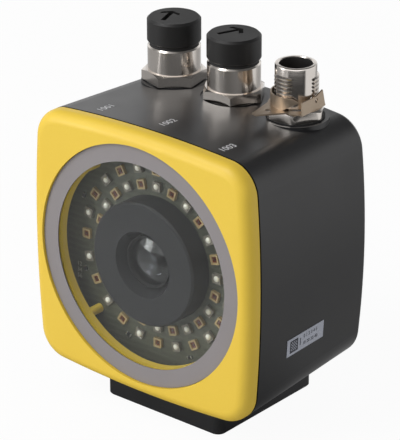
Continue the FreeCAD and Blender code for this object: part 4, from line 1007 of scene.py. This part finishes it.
def sight(tree):
    """Tells what the camera sees, straight or through glass, and what it sees mirrored."""
    path = tree.nodes.new("ShaderNodeLightPath").outputs
    unspread = combined(tree, "LESS_THAN", path["Diffuse Depth"], 0.5)
    reflected = combined(tree, "GREATER_THAN", path["Glossy Depth"], 0.5)
    through = combined(tree, "MULTIPLY", path["Is Transmission Ray"], unspread)
    straight = combined(tree, "MULTIPLY", through, combined(tree, "SUBTRACT", 1.0, reflected))
    seen = combined(tree, "MAXIMUM", path["Is Camera Ray"], straight)
    return seen, combined(tree, "MULTIPLY", reflected, unspread)


FLOOR_SEEN, FLOOR_MIRRORED = 0.95, 0.98
seen, glossy = sight(tree)
spot = parts(tree, "Object")
reach = tree.nodes.new("ShaderNodeVectorMath")
reach.operation = "LENGTH"
feed(tree, own_place(tree), reach.inputs["Vector"])

back = ramp(tree, spot["Y"], start=-0.02, end=0.03, low=0.04, high=1.0)
right = ramp(tree, spot["X"], start=0.09, end=0.17, low=0.46, high=0.95)
behind = combined(tree, "MULTIPLY", back, right)
left = ramp(tree, spot["X"], start=-0.03, end=-0.06, low=0.04, high=0.80)
far_left = ramp(tree, spot["X"], start=-0.10, end=-0.16, low=0.80, high=0.42)
beside = combined(tree, "MINIMUM", left, far_left)
around = ramp(tree, reach.outputs["Value"], start=0.12, end=0.16, low=0.80, high=0.0)
ahead = ramp(tree, spot["Y"], start=-0.03, end=-0.05, low=0.0, high=1.0)
before = combined(tree, "MULTIPLY", around, ahead)
mirrored = combined(tree, "MAXIMUM", behind, combined(tree, "MAXIMUM", beside, before))

glow = tree.nodes.new("ShaderNodeEmission")
feed(tree, combined(tree, "MAXIMUM", seen, mirrored), glow.inputs["Strength"])
seen_share = combined(tree, "MULTIPLY", seen, FLOOR_SEEN)
mirrored_share = combined(tree, "MULTIPLY", glossy, FLOOR_MIRRORED)
ground = tree.nodes.new("ShaderNodeMixShader")
feed(tree, combined(tree, "MAXIMUM", seen_share, mirrored_share), ground.inputs["Fac"])
feed(tree, paper.outputs["BSDF"], ground.inputs[1])
feed(tree, glow.outputs["Emission"], ground.inputs[2])
feed(tree, ground.outputs["Shader"], tree.nodes["Material Output"].inputs["Surface"])
paint(floor, floor_paper)

SURROUND_LIGHT = 0.40
world = bpy.context.scene.world or bpy.data.worlds.new("studio")
bpy.context.scene.world = world
world.use_nodes = True
tree = world.node_tree
surround = tree.nodes["Background"]
feed(tree, (1, 1, 1, 1), surround.inputs["Color"])
seen, glossy = sight(tree)
way = parts(tree, "Generated")
upward = ramp(tree, way["Z"], start=0.30, end=0.60, low=0.66, high=-0.28)
ahead = ramp(tree, way["Y"], start=-0.1, end=-0.5, low=0.0, high=0.5)
mirrored = combined(tree, "MULTIPLY", combined(tree, "ADD", upward, ahead), glossy)
direct = ramp(tree, seen, start=0.0, end=1.0, low=SURROUND_LIGHT, high=1.0)
feed(tree, combined(tree, "ADD", direct, mirrored), surround.inputs["Strength"])

LAMP_AIM = Vector((0, 0, 0.05))


def soft_lamp(name, place, width, power):
    put_down()
    bpy.ops.object.light_add(type="AREA", location=place)
    lamp = bpy.context.object
    lamp.name = name
    lamp.data.shape = "SQUARE"
    lamp.data.size = width
    lamp.data.energy = power
    aim = LAMP_AIM - Vector(place)
    lamp.rotation_euler = aim.to_track_quat("-Z", "Y").to_euler()


soft_lamp("overhead_lamp", place=(-0.32, -0.70, 0.92), width=0.6, power=7.5)
soft_lamp("front_lamp", place=(-0.71, -1.00, 0.22), width=0.42, power=3.7)


# Camera: stands to the right, above and far back, with a long lens. It looks at the reader's
# middle and leans by a fraction of a degree.
CAMERA_PLACE = Vector((0.423023, -0.506107, 0.342565))
CAMERA_AIM = Vector((0.0, -0.003849, 0.050426))
CAMERA_LEAN = -0.1714
CAMERA_LENS, SENSOR_WIDTH, NEAREST = 226.883, 36.0, 0.01
put_down()
bpy.ops.object.camera_add(location=CAMERA_PLACE)
camera = bpy.context.object
level = (CAMERA_AIM - CAMERA_PLACE).to_track_quat("-Z", "Y")
lean = Quaternion((0, 0, 1), math.radians(CAMERA_LEAN))
camera.rotation_euler = (level @ lean).to_euler()
camera.data.lens = CAMERA_LENS
camera.data.sensor_width = SENSOR_WIDTH
camera.data.clip_start = NEAREST
bpy.context.scene.camera = camera
bpy.context.scene.view_settings.view_transform = "Standard"

put_down()
bpy.context.view_layer.update()
